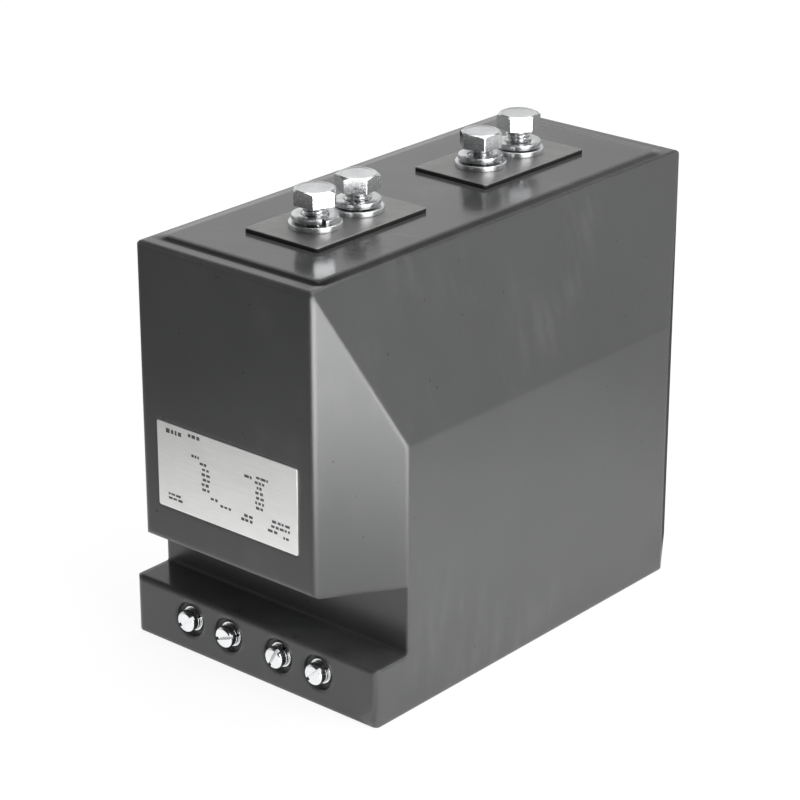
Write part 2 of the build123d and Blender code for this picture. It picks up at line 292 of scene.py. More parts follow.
@dataclass
class Board:
    """A node tree with short calls for placing and joining nodes."""

    tree: bpy.types.NodeTree

    def node(self, kind: str, inputs: dict | None = None, **settings: object) -> bpy.types.Node:
        """Place a node.

        Args:
            kind: type name without its ShaderNode prefix.
            inputs: values or source sockets for its inputs, by name or number.
            settings: properties of the node.

        Returns:
            The new node.
        """
        made = self.tree.nodes.new("ShaderNode" + kind)
        for key, value in settings.items():
            setattr(made, key, value)
        return self.fill(made, inputs or {})

    def fill(self, made: bpy.types.Node, inputs: dict) -> bpy.types.Node:
        """Give a node's inputs their values or source sockets.

        Args:
            made: the node.
            inputs: values or source sockets, by name or number of the input.

        Returns:
            The same node.
        """
        for key, value in inputs.items():
            if isinstance(value, Socket):
                self.tree.links.new(value, made.inputs[key])
            else:
                made.inputs[key].default_value = value
        return made

    def find(self, kind: str) -> bpy.types.Node:
        """The first node of a type, such as the shader that a new material starts with."""
        return next(node for node in self.tree.nodes if node.type == kind)

    def math(self, operation: str, *values: object) -> Socket:
        """The result of one operation on numbers or sockets."""
        return self.node("Math", dict(enumerate(values)), operation=operation).outputs[0]

    def times(self, *values: object) -> Socket:
        """The product of numbers or sockets."""
        return reduce(partial(self.math, "MULTIPLY"), values)

    def plus(self, *values: object) -> Socket:
        """The sum of numbers or sockets."""
        return reduce(partial(self.math, "ADD"), values)

    def rest(self, value: object) -> Socket:
        """What a share leaves of 1."""
        return self.math("SUBTRACT", 1.0, value)

    def axes(self, vector: Socket) -> bpy.types.bpy_prop_collection:
        """A vector's parts, by the names X, Y and Z."""
        return self.node("SeparateXYZ", {0: vector}).outputs

    def gauge(self, operation: str, *vectors: object) -> Socket:
        """The number that an operation on vectors gives, such as a length or a dot product."""
        return self.node("VectorMath", dict(enumerate(vectors)), operation=operation).outputs["Value"]

    def ramp(self, value: Socket, low: float, high: float, bottom: float = 0.0, top: float = 1.0) -> Socket:
        """A smooth step of a value from bottom at low to top at high.

        Args:
            value: the socket to read.
            low: where the step starts.
            high: where it ends.
            bottom: result at its start.
            top: result at its end.

        Returns:
            The stepped value.
        """
        inputs = {"Value": value, "From Min": low, "From Max": high, "To Min": bottom, "To Max": top}
        return self.node("MapRange", inputs, interpolation_type="SMOOTHSTEP").outputs["Result"]

    def noise(self, vector: Socket, scale: float, detail: float = 3.0, roughness: float = 0.55) -> Socket:
        """Noise between 0 and 1.

        Args:
            vector: where it is read.
            scale: features per metre.
            detail: number of finer layers.
            roughness: share of each finer layer.

        Returns:
            The noise value.
        """
        inputs = {"Vector": vector, "Scale": scale, "Detail": detail, "Roughness": roughness}
        return self.node("TexNoise", inputs, noise_dimensions="3D").outputs["Fac"]

    def stretched(self, vector: Socket, scale: Triple, turn: Triple = (0, 0, 0)) -> Socket:
        """Coordinates scaled and turned, so that a pattern runs long one way.

        Args:
            vector: the coordinates.
            scale: scale along each axis.
            turn: turn about each axis in degrees.

        Returns:
            The new coordinates.
        """
        rotation = tuple(math.radians(a) for a in turn)
        inputs = {"Vector": vector, "Scale": scale, "Rotation": rotation}
        return self.node("Mapping", inputs).outputs["Vector"]

    def tint(self, factor: Socket, first: object, second: object) -> Socket:
        """A colour between two, by a factor.

        Args:
            factor: 0 gives the first and 1 the second.
            first: colour or socket.
            second: colour or socket.

        Returns:
            The mixed colour.
        """
        inputs = {"Factor": factor}
        for key, value in zip(MIX_COLOURS, (first, second)):
            inputs[key] = value if isinstance(value, Socket) else (*value, 1.0)
        return self.node("Mix", inputs, data_type="RGBA").outputs[MIX_RESULT]

    def layers(self, base: Socket, coats: list[tuple[Socket, float, Triple]]) -> Socket:
        """A base colour under several coats, each laid on by a mask.

        Args:
            base: the colour below.
            coats: mask, share of the mask and colour of each coat, from the lowest up.

        Returns:
            The colour on top.
        """
        for mask, share, colour in coats:
            base = self.tint(self.times(mask, share), base, colour)
        return base


def shared_group(
    name: str, inputs: dict[str, float], outputs: list[str]
) -> tuple[Board, bpy.types.bpy_prop_collection, bpy.types.Node]:
    """An empty node group with a vector input, number inputs and number outputs.

    Args:
        name: name of the group.
        inputs: default of each number input.
        outputs: names of the number outputs.

    Returns:
        Its board, the sockets of its inputs and its output node.
    """
    tree = bpy.data.node_groups.new(name, "ShaderNodeTree")
    tree.interface.new_socket("Vector", in_out="INPUT", socket_type="NodeSocketVector")
    for key, value in inputs.items():
        socket = tree.interface.new_socket(key, in_out="INPUT", socket_type="NodeSocketFloat")
        socket.default_value = value
    for key in outputs:
        tree.interface.new_socket(key, in_out="OUTPUT", socket_type="NodeSocketFloat")
    return Board(tree), tree.nodes.new("NodeGroupInput").outputs, tree.nodes.new("NodeGroupOutput")


def scaled_place(board: Board, given: bpy.types.bpy_prop_collection) -> Socket:
    """A group's vector input times its scale input."""
    inputs = {0: given["Vector"], "Scale": given["Scale"]}
    return board.node("VectorMath", inputs, operation="SCALE").outputs["Vector"]


@dataclass
class SharedEffects:
    """The effects that several finishes use, each built once as a node group."""

    trees: dict[str, bpy.types.NodeTree] = field(default_factory=dict)

    def build(self) -> None:
        """Build every group."""
        self.trees = {
            "edge wear": self.edge_wear(),
            "moulded skin": self.moulded_skin(),
            "dust": self.dust(),
            "scuffs": self.scuffs(),
            "grain": self.grain(),
        }

    def place(self, board: Board, name: str, inputs: dict) -> bpy.types.bpy_prop_collection:
        """Put one of the groups into a material.

        Args:
            board: the material's board.
            name: name of the group.
            inputs: values or sockets for its inputs.

        Returns:
            The group's outputs.
        """
        return board.node("Group", inputs, node_tree=self.trees[name]).outputs

    def edge_wear(self) -> bpy.types.NodeTree:
        """Mask of edges, from how far a rounded normal leans from the true one, broken up by noise."""
        board, given, result = shared_group(
            "Edge wear", {"Radius": 0.001, "Gain": 3.0, "Break Up": 0.6}, ["Mask"]
        )
        rounded = board.node("Bevel", {"Radius": given["Radius"]}, samples=4).outputs[0]
        true = board.node("NewGeometry").outputs["Normal"]
        lean = board.times(board.rest(board.gauge("DOT_PRODUCT", rounded, true)), given["Gain"])
        speck = board.ramp(board.noise(given["Vector"], 260, 4), 0.38, 0.62)
        kept = board.rest(board.times(speck, given["Break Up"]))
        mask = board.node("Clamp", {"Value": board.times(lean, kept)}).outputs[0]
        board.fill(result, {"Mask": mask})
        return board.tree

    def moulded_skin(self) -> bpy.types.NodeTree:
        """Slow mottling, fine filler specks, a few pits and the faint waves of a moulded surface."""
        board, given, result = shared_group(
            "Moulded skin", {"Scale": 1.0}, ["Mottle", "Speck", "Pit", "Height"]
        )
        scaled = scaled_place(board, given)
        waves = board.times(board.noise(scaled, 240, 2), 0.75)
        fine = board.times(board.noise(scaled, 1100, 2), 0.25)
        outputs = {
            "Mottle": board.ramp(board.noise(scaled, 22, 2), 0.05, 0.95),
            "Speck": board.ramp(board.noise(scaled, 1500, 2), 0.58, 0.72),
            "Pit": board.ramp(board.noise(scaled, 380, 0), 0.84, 0.88),
            "Height": board.plus(waves, fine),
        }
        board.fill(result, outputs)
        return board.tree

    def dust(self) -> bpy.types.NodeTree:
        """Thin dust on faces that look up, in patches."""
        board, given, result = shared_group("Dust", {"Amount": 0.3, "Scale": 1.0}, ["Mask"])
        normal = board.node("NewGeometry").outputs["Normal"]
        up = board.ramp(board.axes(normal)["Z"], 0.35, 0.95)
        scaled = scaled_place(board, given)
        patches = board.ramp(board.noise(scaled, 45, 6, 0.65), 0.38, 0.75)
        grit = board.ramp(board.noise(scaled, 2400, 1), 0.55, 0.75)
        spread = board.plus(board.times(patches, 0.6), board.times(grit, 0.4))
        board.fill(result, {"Mask": board.times(up, spread, given["Amount"])})
        return board.tree

    def scuffs(self) -> bpy.types.NodeTree:
        """Sparse long scratches and rubbed patches, from two stretched noises each."""
        board, given, result = shared_group("Scuffs", {"Scale": 1.0, "Density": 0.5}, ["Scratch", "Rub"])
        scaled = scaled_place(board, given)
        lines = [
            board.ramp(board.noise(board.stretched(scaled, stretch, turn), 1.0, 1), 0.72, 0.80)
            for stretch, turn in (((35, 35, 1500), (0, 24, 12)), ((1500, 40, 35), (14, 0, 33)))
        ]
        where = board.ramp(board.noise(scaled, 14, 3), 0.52, 0.70)
        scratch = board.times(board.math("MAXIMUM", *lines), where, given["Density"])
        patch = board.ramp(board.noise(scaled, 17, 2), 0.45, 0.75)
        drawn_out = board.stretched(scaled, (85, 110, 28), (12, 8, 0))
        smear = board.ramp(board.noise(drawn_out, 1.0, 2), 0.38, 0.80)
        board.fill(result, {"Scratch": scratch, "Rub": board.times(patch, smear, given["Density"])})
        return board.tree

    def grain(self) -> bpy.types.NodeTree:
        """Grain of worked metal from coordinates that are already stretched along it."""
        board, given, result = shared_group("Grain", {"Contrast": 1.0}, ["Tone", "Height"])
        coarse = board.times(board.noise(given["Vector"], 1.0, 3), 0.6)
        fine = board.times(board.noise(given["Vector"], 4.3, 2), 0.4)
        both = board.plus(coarse, fine)
        centred = board.times(board.math("SUBTRACT", both, 0.5), given["Contrast"])
        board.fill(result, {"Tone": board.plus(centred, 0.5), "Height": both})
        return board.tree


def new_material(name: str) -> tuple[bpy.types.Material, Board, bpy.types.Node]:
    """A new material with its board and its shader node."""
    material = bpy.data.materials.new(name)
    material.use_nodes = True
    board = Board(material.node_tree)
    return material, board, board.find("BSDF_PRINCIPLED")


# Finishes


@dataclass(frozen=True)
class Finish:
    """A finish that fills one material with nodes.

    Attributes:
        name: name of the material.
    """

    name: str

    def start(self) -> tuple[bpy.types.Material, Board, bpy.types.Node, Socket]:
        """A new material with its shader and the object's own coordinates.

        Returns:
            The material, its board, its shader node and the coordinate socket.
        """
        material, board, shader = new_material(self.name)
        return material, board, shader, board.node("TexCoord").outputs["Object"]

    def bump(
        self, board: Board, shader: bpy.types.Node, height: Socket, distance: float, rounding: float = 0.0
    ) -> None:
        """Feed a height through a bump into the shader's normal, over edges rounded by a radius.

        Args:
            board: the material's board.
            shader: the shader node.
            height: height between 0 and 1.
            distance: depth of a full step in metres.
            rounding: radius by which edges look rounded, in metres.
        """
        inputs = {"Height": height, "Distance": distance}
        if rounding > 0:
            inputs["Normal"] = board.node("Bevel", {"Radius": rounding}, samples=6).outputs[0]
        board.fill(shader, {"Normal": board.node("Bump", inputs).outputs["Normal"]})


@dataclass(frozen=True)
class CastResin(Finish):
    """Glossy dark grey cast epoxy resin with a faint moulded skin, rubbed patches, pale edges that are partly
    worn and partly a painted highlight, and painted shade on the plateau's slope.

    Attributes:
        dark: darkest colour of the mottling.
        light: lightest colour of the mottling.
        worn_and_highlight: colour of rubbed places and specks, and of the edges, which are partly worn and
            partly a painted highlight.
        dusty: colour of dust.
        pit_and_slope_shade: colour of pits, and of the painted shade on the plateau's slope.
        side_roughness: roughness of upright faces.
        top_roughness: roughness of faces that look up.
        refraction: index of refraction.
        skin_depth: depth of the moulded skin's waves.
        edge_rounding: radius by which edges look rounded.
        slot_wall_y: where the slot's wall lies.
        slot_middle_z: height of the slot's middle.
        slot_reach: how far the slot's unworn corners reach along X, Y and Z from their middle.
        plateau_half: half the plateau's width and length at its upper border.
        plateau_run: how far its slope runs out.
        shoulder_z: height above which the slope lies.
    """

    dark: Triple = (0.051, 0.0515, 0.0525)
    light: Triple = (0.061, 0.0615, 0.0625)
    worn_and_highlight: Triple = (0.115, 0.115, 0.116)
    dusty: Triple = (0.24, 0.238, 0.232)
    pit_and_slope_shade: Triple = (0.008, 0.008, 0.008)
    side_roughness: float = 0.27
    top_roughness: float = 0.13
    refraction: float = 1.47
    skin_depth: float = 0.04 * MM
    edge_rounding: float = 3.0 * MM
    slot_wall_y: float = -95.0 * MM
    slot_middle_z: float = 45.0 * MM
    slot_reach: Triple = (72.5 * MM, 3.0 * MM, 19.0 * MM)
    plateau_half: tuple[float, float] = (44.5 * MM, 118.0 * MM)
    plateau_run: float = 5.0 * MM
    shoulder_z: float = 201.2 * MM

    def build(self, effects: SharedEffects) -> bpy.types.Material:
        """Build the material from the shared effects and return it."""
        material, board, shader, place = self.start()
        skin = effects.place(board, "moulded skin", {"Vector": place, "Scale": 1.0})
        scuffs = effects.place(board, "scuffs", {"Vector": place, "Scale": 1.0, "Density": 0.5})
        dust = effects.place(board, "dust", {"Vector": place, "Amount": 0.10})["Mask"]
        # the edge mask lightens the edges partly as wear and partly as a painted highlight along them; its
        # raised gain strengthens that painted highlight
        edges = {"Vector": place, "Radius": 1.3 * MM, "Gain": 6.0, "Break Up": 0.45}
        wear = board.times(effects.place(board, "edge wear", edges)["Mask"], self.outside_slot(board, place))
        coats = [
            (skin["Speck"], 0.16, self.worn_and_highlight),
            (skin["Pit"], 0.7, self.pit_and_slope_shade),
            (scuffs["Rub"], 1.0, self.worn_and_highlight),
            (scuffs["Scratch"], 0.6, self.worn_and_highlight),
            # pale edges: wear together with a painted highlight
            (wear, 1.0, self.worn_and_highlight),
            (dust, 1.0, self.dusty),
            # painted shade: the plateau's slope is darkened, most in front, to stand in for the shade there
            (self.plateau_slope_shade(board, place), 1.0, self.pit_and_slope_shade),
        ]
        up = board.axes(board.node("NewGeometry").outputs["Normal"])["Z"]
        roughness = board.plus(
            board.times(scuffs["Rub"], 0.06),
            board.times(dust, 0.30),
            board.times(scuffs["Scratch"], 0.20),
            board.times(skin["Mottle"], 0.04),
            board.ramp(up, 0.4, 0.9, self.side_roughness, self.top_roughness),
        )
        colour = board.layers(board.tint(skin["Mottle"], self.dark, self.light), coats)
        board.fill(shader, {"Base Color": colour, "Roughness": roughness, "IOR": self.refraction})
        self.bump(board, shader, skin["Height"], self.skin_depth, self.edge_rounding)
        return material

    def outside_slot(self, board: Board, place: Socket) -> Socket:
        """Mask that is 0 along the slot's inner corners, where nothing rubs, and 1 elsewhere.

        Args:
            board: the material's board.
            place: the object's own coordinates.

        Returns:
            The mask.
        """
        along = board.axes(place)
        middle = (0.0, self.slot_wall_y, self.slot_middle_z)
        near = [board.math("COMPARE", along[i], middle[i], self.slot_reach[i]) for i in range(3)]
        return board.rest(board.times(*near))

    def plateau_slope_shade(self, board: Board, place: Socket) -> Socket:
        """Mask of painted shade on the plateau's slope, strongest in front.

        The distance out from the plateau's upper border is the larger of the distances past its
        half width and past its half length, and the mask is a soft band of that distance.

        Args:
            board: the material's board.
            place: the object's own coordinates.

        Returns:
            The mask.
        """
        along = board.axes(place)
        past = [
            board.math("SUBTRACT", board.math("ABSOLUTE", along[i]), half)
            for i, half in enumerate(self.plateau_half)
        ]
        out = board.math("MAXIMUM", *past)
        rise = board.ramp(out, 0.1 * self.plateau_run, 0.4 * self.plateau_run)
        fall = board.ramp(out, 1.02 * self.plateau_run, 0.85 * self.plateau_run)
        top = board.math("GREATER_THAN", along["Z"], self.shoulder_z)
        share = board.ramp(along["Y"], -0.105, -0.117, 0.60, 0.95)
        return board.times(rise, fall, top, share)


@dataclass(frozen=True)
class PlatedMetal(Finish):
    """Bright or dull plated metal with turning or rolling marks, fine wear and grime.

    Attributes:
        tone: base colour.
        roughness: roughness of the clean face.
        stain_and_side_shade: colour of grime in the marks; a quarter of it is the colour of the painted shade
            on the upright sides.
        grime: how much of the face the grime takes.
        along: scale of the marks along each axis.
        turned: whether the marks follow the piece's own turning coordinates.
        marks: depth of the marks in metres.
        painted_side_shade: how far painted shade darkens the upright sides, from 0 to 1.
    """

    tone: MetalTone = MetalTone.ZINC
    roughness: float = 0.20
    stain_and_side_shade: Triple = (0.20, 0.19, 0.18)
    grime: float = 0.35
    along: Triple = (400, 400, 400)
    turned: bool = False
    marks: float = 0.00001
    painted_side_shade: float = 0.0

    def build(self, effects: SharedEffects) -> bpy.types.Material:
        """Build the material from the shared effects and return it."""
        material, board, shader, place = self.start()
        source = place
        if self.turned:
            source = board.node("Attribute", attribute_name=LATHE_ATTRIBUTE).outputs["Vector"]
        worked = board.stretched(source, self.along)
        grain = effects.place(board, "grain", {"Vector": worked, "Contrast": 1.0})
        skin = effects.place(board, "moulded skin", {"Vector": place, "Scale": 6.0})
        edges = {"Vector": place, "Radius": 0.4 * MM, "Gain": 1.6, "Break Up": 0.4}
        wear = effects.place(board, "edge wear", edges)["Mask"]
        bright = tuple(min(1.0, c * 1.12) for c in self.tone.value)
        dim = tuple(c * 0.80 for c in self.tone.value)
        dull = tuple(0.5 * (s + t) for s, t in zip(self.stain_and_side_shade, self.tone.value))
        dirt = board.times(skin["Mottle"], self.grime)
        coats = [(dirt, 1.0, dull), (wear, 0.6, bright)]
        colour = board.layers(board.tint(grain["Tone"], dim, bright), coats)
        # painted shade: the upright sides are darkened towards a quarter of the grime colour, standing in for
        # the shade on them
        if self.painted_side_shade > 0:
            normal = board.axes(board.node("NewGeometry").outputs["Normal"])["Z"]
            upright = board.ramp(board.math("ABSOLUTE", normal), 0.75, 0.35, 0.0, self.painted_side_shade)
            colour = board.tint(upright, colour, tuple(0.25 * s for s in self.stain_and_side_shade))
        roughness = board.plus(
            board.times(grain["Tone"], 0.10), self.roughness - 0.05, board.times(dirt, 0.35)
        )
        board.fill(shader, {"Base Color": colour, "Roughness": roughness, "Metallic": 1.0})
        self.bump(board, shader, grain["Height"], self.marks)
        return material


@dataclass(frozen=True)
class WoundCoil(Finish):
    """Varnished crepe tape wound over copper wire, in slanted overlapping bands."""

    tape: Triple = (0.62, 0.44, 0.24)
    shade: Triple = (0.34, 0.21, 0.10)
    band_width: float = 12.0 * MM
    relief: float = 0.3 * MM

    def build(self, effects: SharedEffects) -> bpy.types.Material:
        """Build the material from the shared effects and return it."""
        material, board, shader, place = self.start()
        waves = {
            "Vector": board.stretched(place, (1, 1, 1), (18, 0, 0)),
            "Scale": 1 / self.band_width / 3.1,
            "Distortion": 1.2,
            "Detail": 2.0,
            "Detail Scale": 1.5,
        }
        kind = {"wave_type": "BANDS", "bands_direction": "Y", "wave_profile": "SAW"}
        bands = board.node("TexWave", waves, **kind).outputs["Fac"]
        crepe = board.noise(board.stretched(place, (900, 160, 900)), 1.0, 3)
        skin = effects.place(board, "moulded skin", {"Vector": place, "Scale": 2.0})
        tape = board.tint(board.ramp(bands, 0.0, 0.18), self.shade, self.tape)
        colour = board.layers(tape, [(skin["Mottle"], 0.4, self.shade)])
        board.fill(shader, {"Base Color": colour, "Roughness": board.ramp(crepe, 0.3, 0.7, 0.38, 0.62)})
        self.bump(board, shader, board.plus(board.times(bands, 0.7), board.times(crepe, 0.3)), self.relief)
        return material


@dataclass(frozen=True)
class BraidedSleeve(Finish):
    """Pale braided glass sleeve on a lead."""

    light: Triple = (0.72, 0.69, 0.60)
    dark: Triple = (0.40, 0.37, 0.30)
    relief: float = 0.12 * MM

    def build(self, effects: SharedEffects) -> bpy.types.Material:
        """Build the material from the shared effects and return it."""
        material, board, shader, place = self.start()
        strands = []
        for turn in ((0, 45, 30), (0, -45, -30)):
            inputs = {"Vector": board.stretched(place, (1, 1, 1), turn), "Scale": 260.0, "Distortion": 0.4}
            strands.append(board.node("TexWave", inputs).outputs["Fac"])
        braid = board.math("MAXIMUM", *strands)
        skin = effects.place(board, "moulded skin", {"Vector": place, "Scale": 3.0})
        colour = board.layers(board.tint(braid, self.dark, self.light), [(skin["Mottle"], 0.35, self.dark)])
        board.fill(shader, {"Base Color": colour, "Roughness": board.ramp(braid, 0, 1, 0.8, 0.6)})
        self.bump(board, shader, braid, self.relief)
        return material


@dataclass(frozen=True)
class PrintedInk(Finish):
    """Dark printing ink, a little uneven."""

    ink: Triple = (0.030, 0.030, 0.032)
    thin: Triple = (0.10, 0.10, 0.105)
    relief: float = 0.01 * MM

    def build(self, effects: SharedEffects) -> bpy.types.Material:
        """Build the material from the shared effects and return it."""
        material, board, shader, place = self.start()
        skin = effects.place(board, "moulded skin", {"Vector": place, "Scale": 4.0})
        colour = board.tint(skin["Mottle"], self.ink, self.thin)
        board.fill(shader, {"Base Color": colour, "Roughness": board.ramp(skin["Mottle"], 0, 1, 0.38, 0.55)})
        self.bump(board, shader, skin["Height"], self.relief)
        return material


@dataclass
class Finishes:
    """All finishes of the part, by the record's slot names, and the printing ink."""

    effects: SharedEffects
    made: dict[str, bpy.types.Material] = field(default_factory=dict)

    def build(self) -> None:
        """Build every material."""
        finishes = {
            "resin": CastResin("cast resin"),
            "zinc_steel": PlatedMetal("zinc plated steel", along=(3, 2600, 2600), turned=True),
            "terminal_metal": PlatedMetal(
                "tinned terminal plate", tone=MetalTone.TIN, roughness=0.36, grime=0.4,
                along=(900, 30, 900), marks=0.015 * MM, painted_side_shade=0.9,
            ),
            "copper": PlatedMetal("bare copper", tone=MetalTone.COPPER, roughness=0.30, along=(900, 40, 900)),
            "brass": PlatedMetal(
                "turned brass", tone=MetalTone.BRASS, roughness=0.26, along=(3, 2200, 2200), turned=True
            ),
            "bush_brass": PlatedMetal(
                "cast-in brass bushes", tone=MetalTone.BRASS, roughness=0.32, along=(700, 700, 700)
            ),
            "core_steel": PlatedMetal(
                "wound core steel", tone=MetalTone.CORE_STEEL, roughness=0.42,
                along=(700, 20, 700), marks=0.03 * MM,
            ),
            "coil_tape": WoundCoil("varnished coil tape"),
            "lead_sleeve": BraidedSleeve("braided lead sleeve"),
            "nameplate": PlatedMetal(
                "satin nameplate", tone=MetalTone.ALUMINIUM, roughness=0.34, grime=0.12,
                along=(50, 900, 2200), marks=0.006 * MM,
            ),
            "ink": PrintedInk("nameplate ink"),
        }
        self.made = {slot: finish.build(self.effects) for slot, finish in finishes.items()}

    def dress(self, piece: bpy.types.Object, slot: str) -> None:
        """Give a piece one finish in all its material slots, or in a new one.

        Args:
            piece: the object to dress.
            slot: name of the finish.
        """
        material = self.made[slot]
        if not piece.data.materials:
            piece.data.materials.append(material)
        for holder in piece.material_slots:
            holder.material = material


def seat(
    finishes: Finishes, name: str, surface: Surface, slot: str, nodes: list[str],
    finish: str = "", sharp_angle: float = 32.0,
) -> None:
    """Make a piece, dress it, ride it on the part and let it stand for CAD nodes.

    Args:
        finishes: the part's finishes.
        name: name of the new piece.
        surface: its points, quads and turning coordinates.
        slot: the record's material slot.
        nodes: CAD nodes that it stands for.
        finish: name of the finish, where it isn't the slot's.
        sharp_angle: edges bent more than this stay crisp, in degrees.
    """
    piece = new_piece(name, surface, sharp_angle)
    finishes.dress(piece, finish or slot)
    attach(piece, "root")
    if nodes:
        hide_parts(*nodes)
    faces = len(piece.data.polygons)
    LOG.info("piece %s: %d faces, slot %s, stands for %s", name, faces, slot, nodes or "nothing")


# Sub-assemblies


@dataclass
class Washer:
    """A flat washer and a split spring washer of one thread size.

    Attributes:
        bore: radius of the flat washer's hole.
        outer: outer radius of the flat washer.
        thickness: thickness of the flat washer.
        spring_bore: inner radius of the spring washer.
        spring_outer: outer radius of the spring washer.
        spring_thickness: thickness of the spring washer.
        spring_rise: how far its free end stands above its other end.
        split: angle of the split in degrees.
        columns: steps round the axis.
    """

    bore: float
    outer: float
    thickness: float
    spring_bore: float
    spring_outer: float
    spring_thickness: float
    spring_rise: float
    split: float = 12.0
    columns: int = 96

    def flat(self) -> Surface:
        """A punched ring: crisp below, rounded above, closed on itself.

        Returns:
            The ring standing on z = 0.
        """
        round_off = self.thickness * 0.22
        small = self.thickness * 0.08
        profile = [(self.bore, small), (self.bore + small, 0.0)]
        profile += [(self.outer - small, 0.0), (self.outer, small)]
        profile += arc((self.outer - round_off, self.thickness - round_off), round_off, 0, 90, 6)
        profile += arc((self.bore + small, self.thickness - small), small, 90, 180, 4)
        profile.append((self.bore, small))
        return revolve(profile, self.columns)

    def spring(self) -> Surface:
        """A rounded rectangle carried along one turn of a helix, with closed ends.

        The centre line at angle a is (r cos a, r sin a, rise a / turn + t / 2). The section is
        added along the radius and along Z, and shrinks to its middle in the first and last ring,
        which closes the ends.

        Returns:
            The ring standing on z = 0.
        """
        width = self.spring_outer - self.spring_bore
        section = ring_section(width, self.spring_thickness, self.spring_thickness * 0.14)
        angles = np.radians(np.linspace(0, 360 - self.split, self.columns))
        angles = np.concatenate([angles[:1], angles, angles[-1:]])[:, None]
        shrink = np.ones_like(angles)
        shrink[[0, -1]] = 0.0
        middle = (self.spring_outer + self.spring_bore) / 2
        lift = self.spring_rise * angles / FULL_TURN + self.spring_thickness / 2
        return lathe(middle + shrink * section[None, :, 0], lift + shrink * section[None, :, 1], angles)


@dataclass
class HexBolt:
    """A fully threaded hexagon bolt, made as one closed surface.

    Attributes:
        crest: radius of the thread's crest.
        pitch: rise of one turn of the thread.
        length: length below the head.
        flats: width of the head over its flats.
        head: height of the head.
        face_share: flat top of the head as a share of half the width over flats.
        chamfer_angle: slope of the head's top chamfer in degrees.
        corner_radius: rounding of the hexagon's corners.
        collar: height of the round bearing face below the hexagon.
        columns: even steps round the axis.
        rings_per_turn: rings along one turn of the thread.
    """

    crest: float = 5.94 * MM
    pitch: float = 1.75 * MM
    length: float = 25.0 * MM
    flats: float = 18.0 * MM
    head: float = 7.5 * MM
    face_share: float = 0.95
    chamfer_angle: float = 30.0
    corner_radius: float = 0.4 * MM
    collar: float = 0.3 * MM
    columns: int = 72
    rings_per_turn: int = 9

    def surface(self) -> Surface:
        """The whole bolt as rings round the Z axis, from the tip's centre to the head's centre.

        On the shank the radius is the thread's root plus its depth at that ring and angle, held
        inside a 45 degree cone at the tip. On the head it is the hexagon's, up to the height where
        that column meets the chamfer's cone, h - (r - f) tan(c), with f the radius of the flat top
        and c the cone's slope. From there it runs along the cone to the flat top.

        Returns:
            The bolt with its bearing face at z = 0 and its shank going down.
        """
        angles = self.angles()
        depth = THREAD_DEPTH * self.pitch
        root = self.crest - depth
        count = int(self.length / self.pitch * self.rings_per_turn)
        shank_z = np.linspace(-self.length, -0.35 * self.pitch, count)
        cone = root - 0.3 * MM + (shank_z + self.length)
        shank_r = root + thread_depth(angles, shank_z, self.pitch, depth)
        shank_r = np.minimum(shank_r, cone[:, None])
        wide = np.ones(len(angles))
        flat = self.flats / 2
        hexagon = self.hexagon(angles)
        face = flat * self.face_share
        shoulder = self.head - (hexagon - face) * math.tan(math.radians(self.chamfer_angle))
        rings = [(0.0, 0.0 * wide - self.length), (root - 0.6 * MM, 0.0 * wide - self.length)]
        rings += list(zip(shank_r, shank_z))
        rings += [(root, 0.0), (flat * 0.90, 0.0), (flat * 0.93, self.collar)]
        rings += [(hexagon - 0.15 * MM, self.collar), (hexagon, self.collar + 0.15 * MM), (hexagon, shoulder)]
        for share in (0.1, 0.9, 1.0):
            rings.append((hexagon + share * (face - hexagon), shoulder + share * (self.head - shoulder)))
        rings += [(face - 0.1 * MM, self.head), (face * 0.90, self.head)]
        rings += [(face * 0.84, self.head - 0.12 * MM), (face * 0.80, self.head - 0.14 * MM)]
        rings.append((0.0, self.head - 0.14 * MM))
        radius = np.array([ring[0] * wide for ring in rings])
        height = np.array([ring[1] * wide for ring in rings])
        return lathe(radius, height, angles)

    def angles(self) -> Points:
        """Angles of the columns: even steps, and close ones at the six rounded corners."""
        even = np.linspace(0, FULL_TURN, self.columns, endpoint=False)
        corners = FULL_TURN / 6 * np.arange(6)
        reach = self.corner_reach()
        near = reach * np.array([-1.3, -1.0, -0.6, -0.2, 0.2, 0.6, 1.0, 1.3])
        close = np.mod((corners[:, None] + near[None, :]).ravel(), FULL_TURN)
        gap = np.abs(np.mod(even + FULL_TURN / 12, FULL_TURN / 6) - FULL_TURN / 12)
        return np.sort(np.concatenate([even[gap > 1.5 * reach], close]))

    def corner_reach(self) -> float:
        """Half the angle that a rounded corner takes, seen from the axis."""
        corner = self.flats / 2 / math.cos(FULL_TURN / 12)
        return self.corner_radius * math.tan(FULL_TURN / 12) * math.cos(FULL_TURN / 12) / corner

    def hexagon(self, angles: Points) -> Points:
        """Distance from the axis to the hexagon with rounded corners.

        Between the corners it is a / cos(f), with f the angle from the middle of the flat. In a
        corner it is c cos(g) + sqrt(k^2 - c^2 sin^2(g)), with g the angle from the corner, k the
        corner's radius and c the distance of that rounding's centre from the axis.

        Args:
            angles: angle of each column.

        Returns:
            The distance at each angle.
        """
        from_corner = np.mod(angles + FULL_TURN / 12, FULL_TURN / 6) - FULL_TURN / 12
        from_flat = FULL_TURN / 12 - np.abs(from_corner)
        flat = self.flats / 2
        centre = (flat - self.corner_radius) / math.cos(FULL_TURN / 12)
        under_root = np.maximum(self.corner_radius**2 - (centre * np.sin(from_corner)) ** 2, 0)
        rounded = centre * np.cos(from_corner) + np.sqrt(under_root)
        return np.where(np.abs(from_corner) < self.corner_reach(), rounded, flat / np.cos(from_flat))


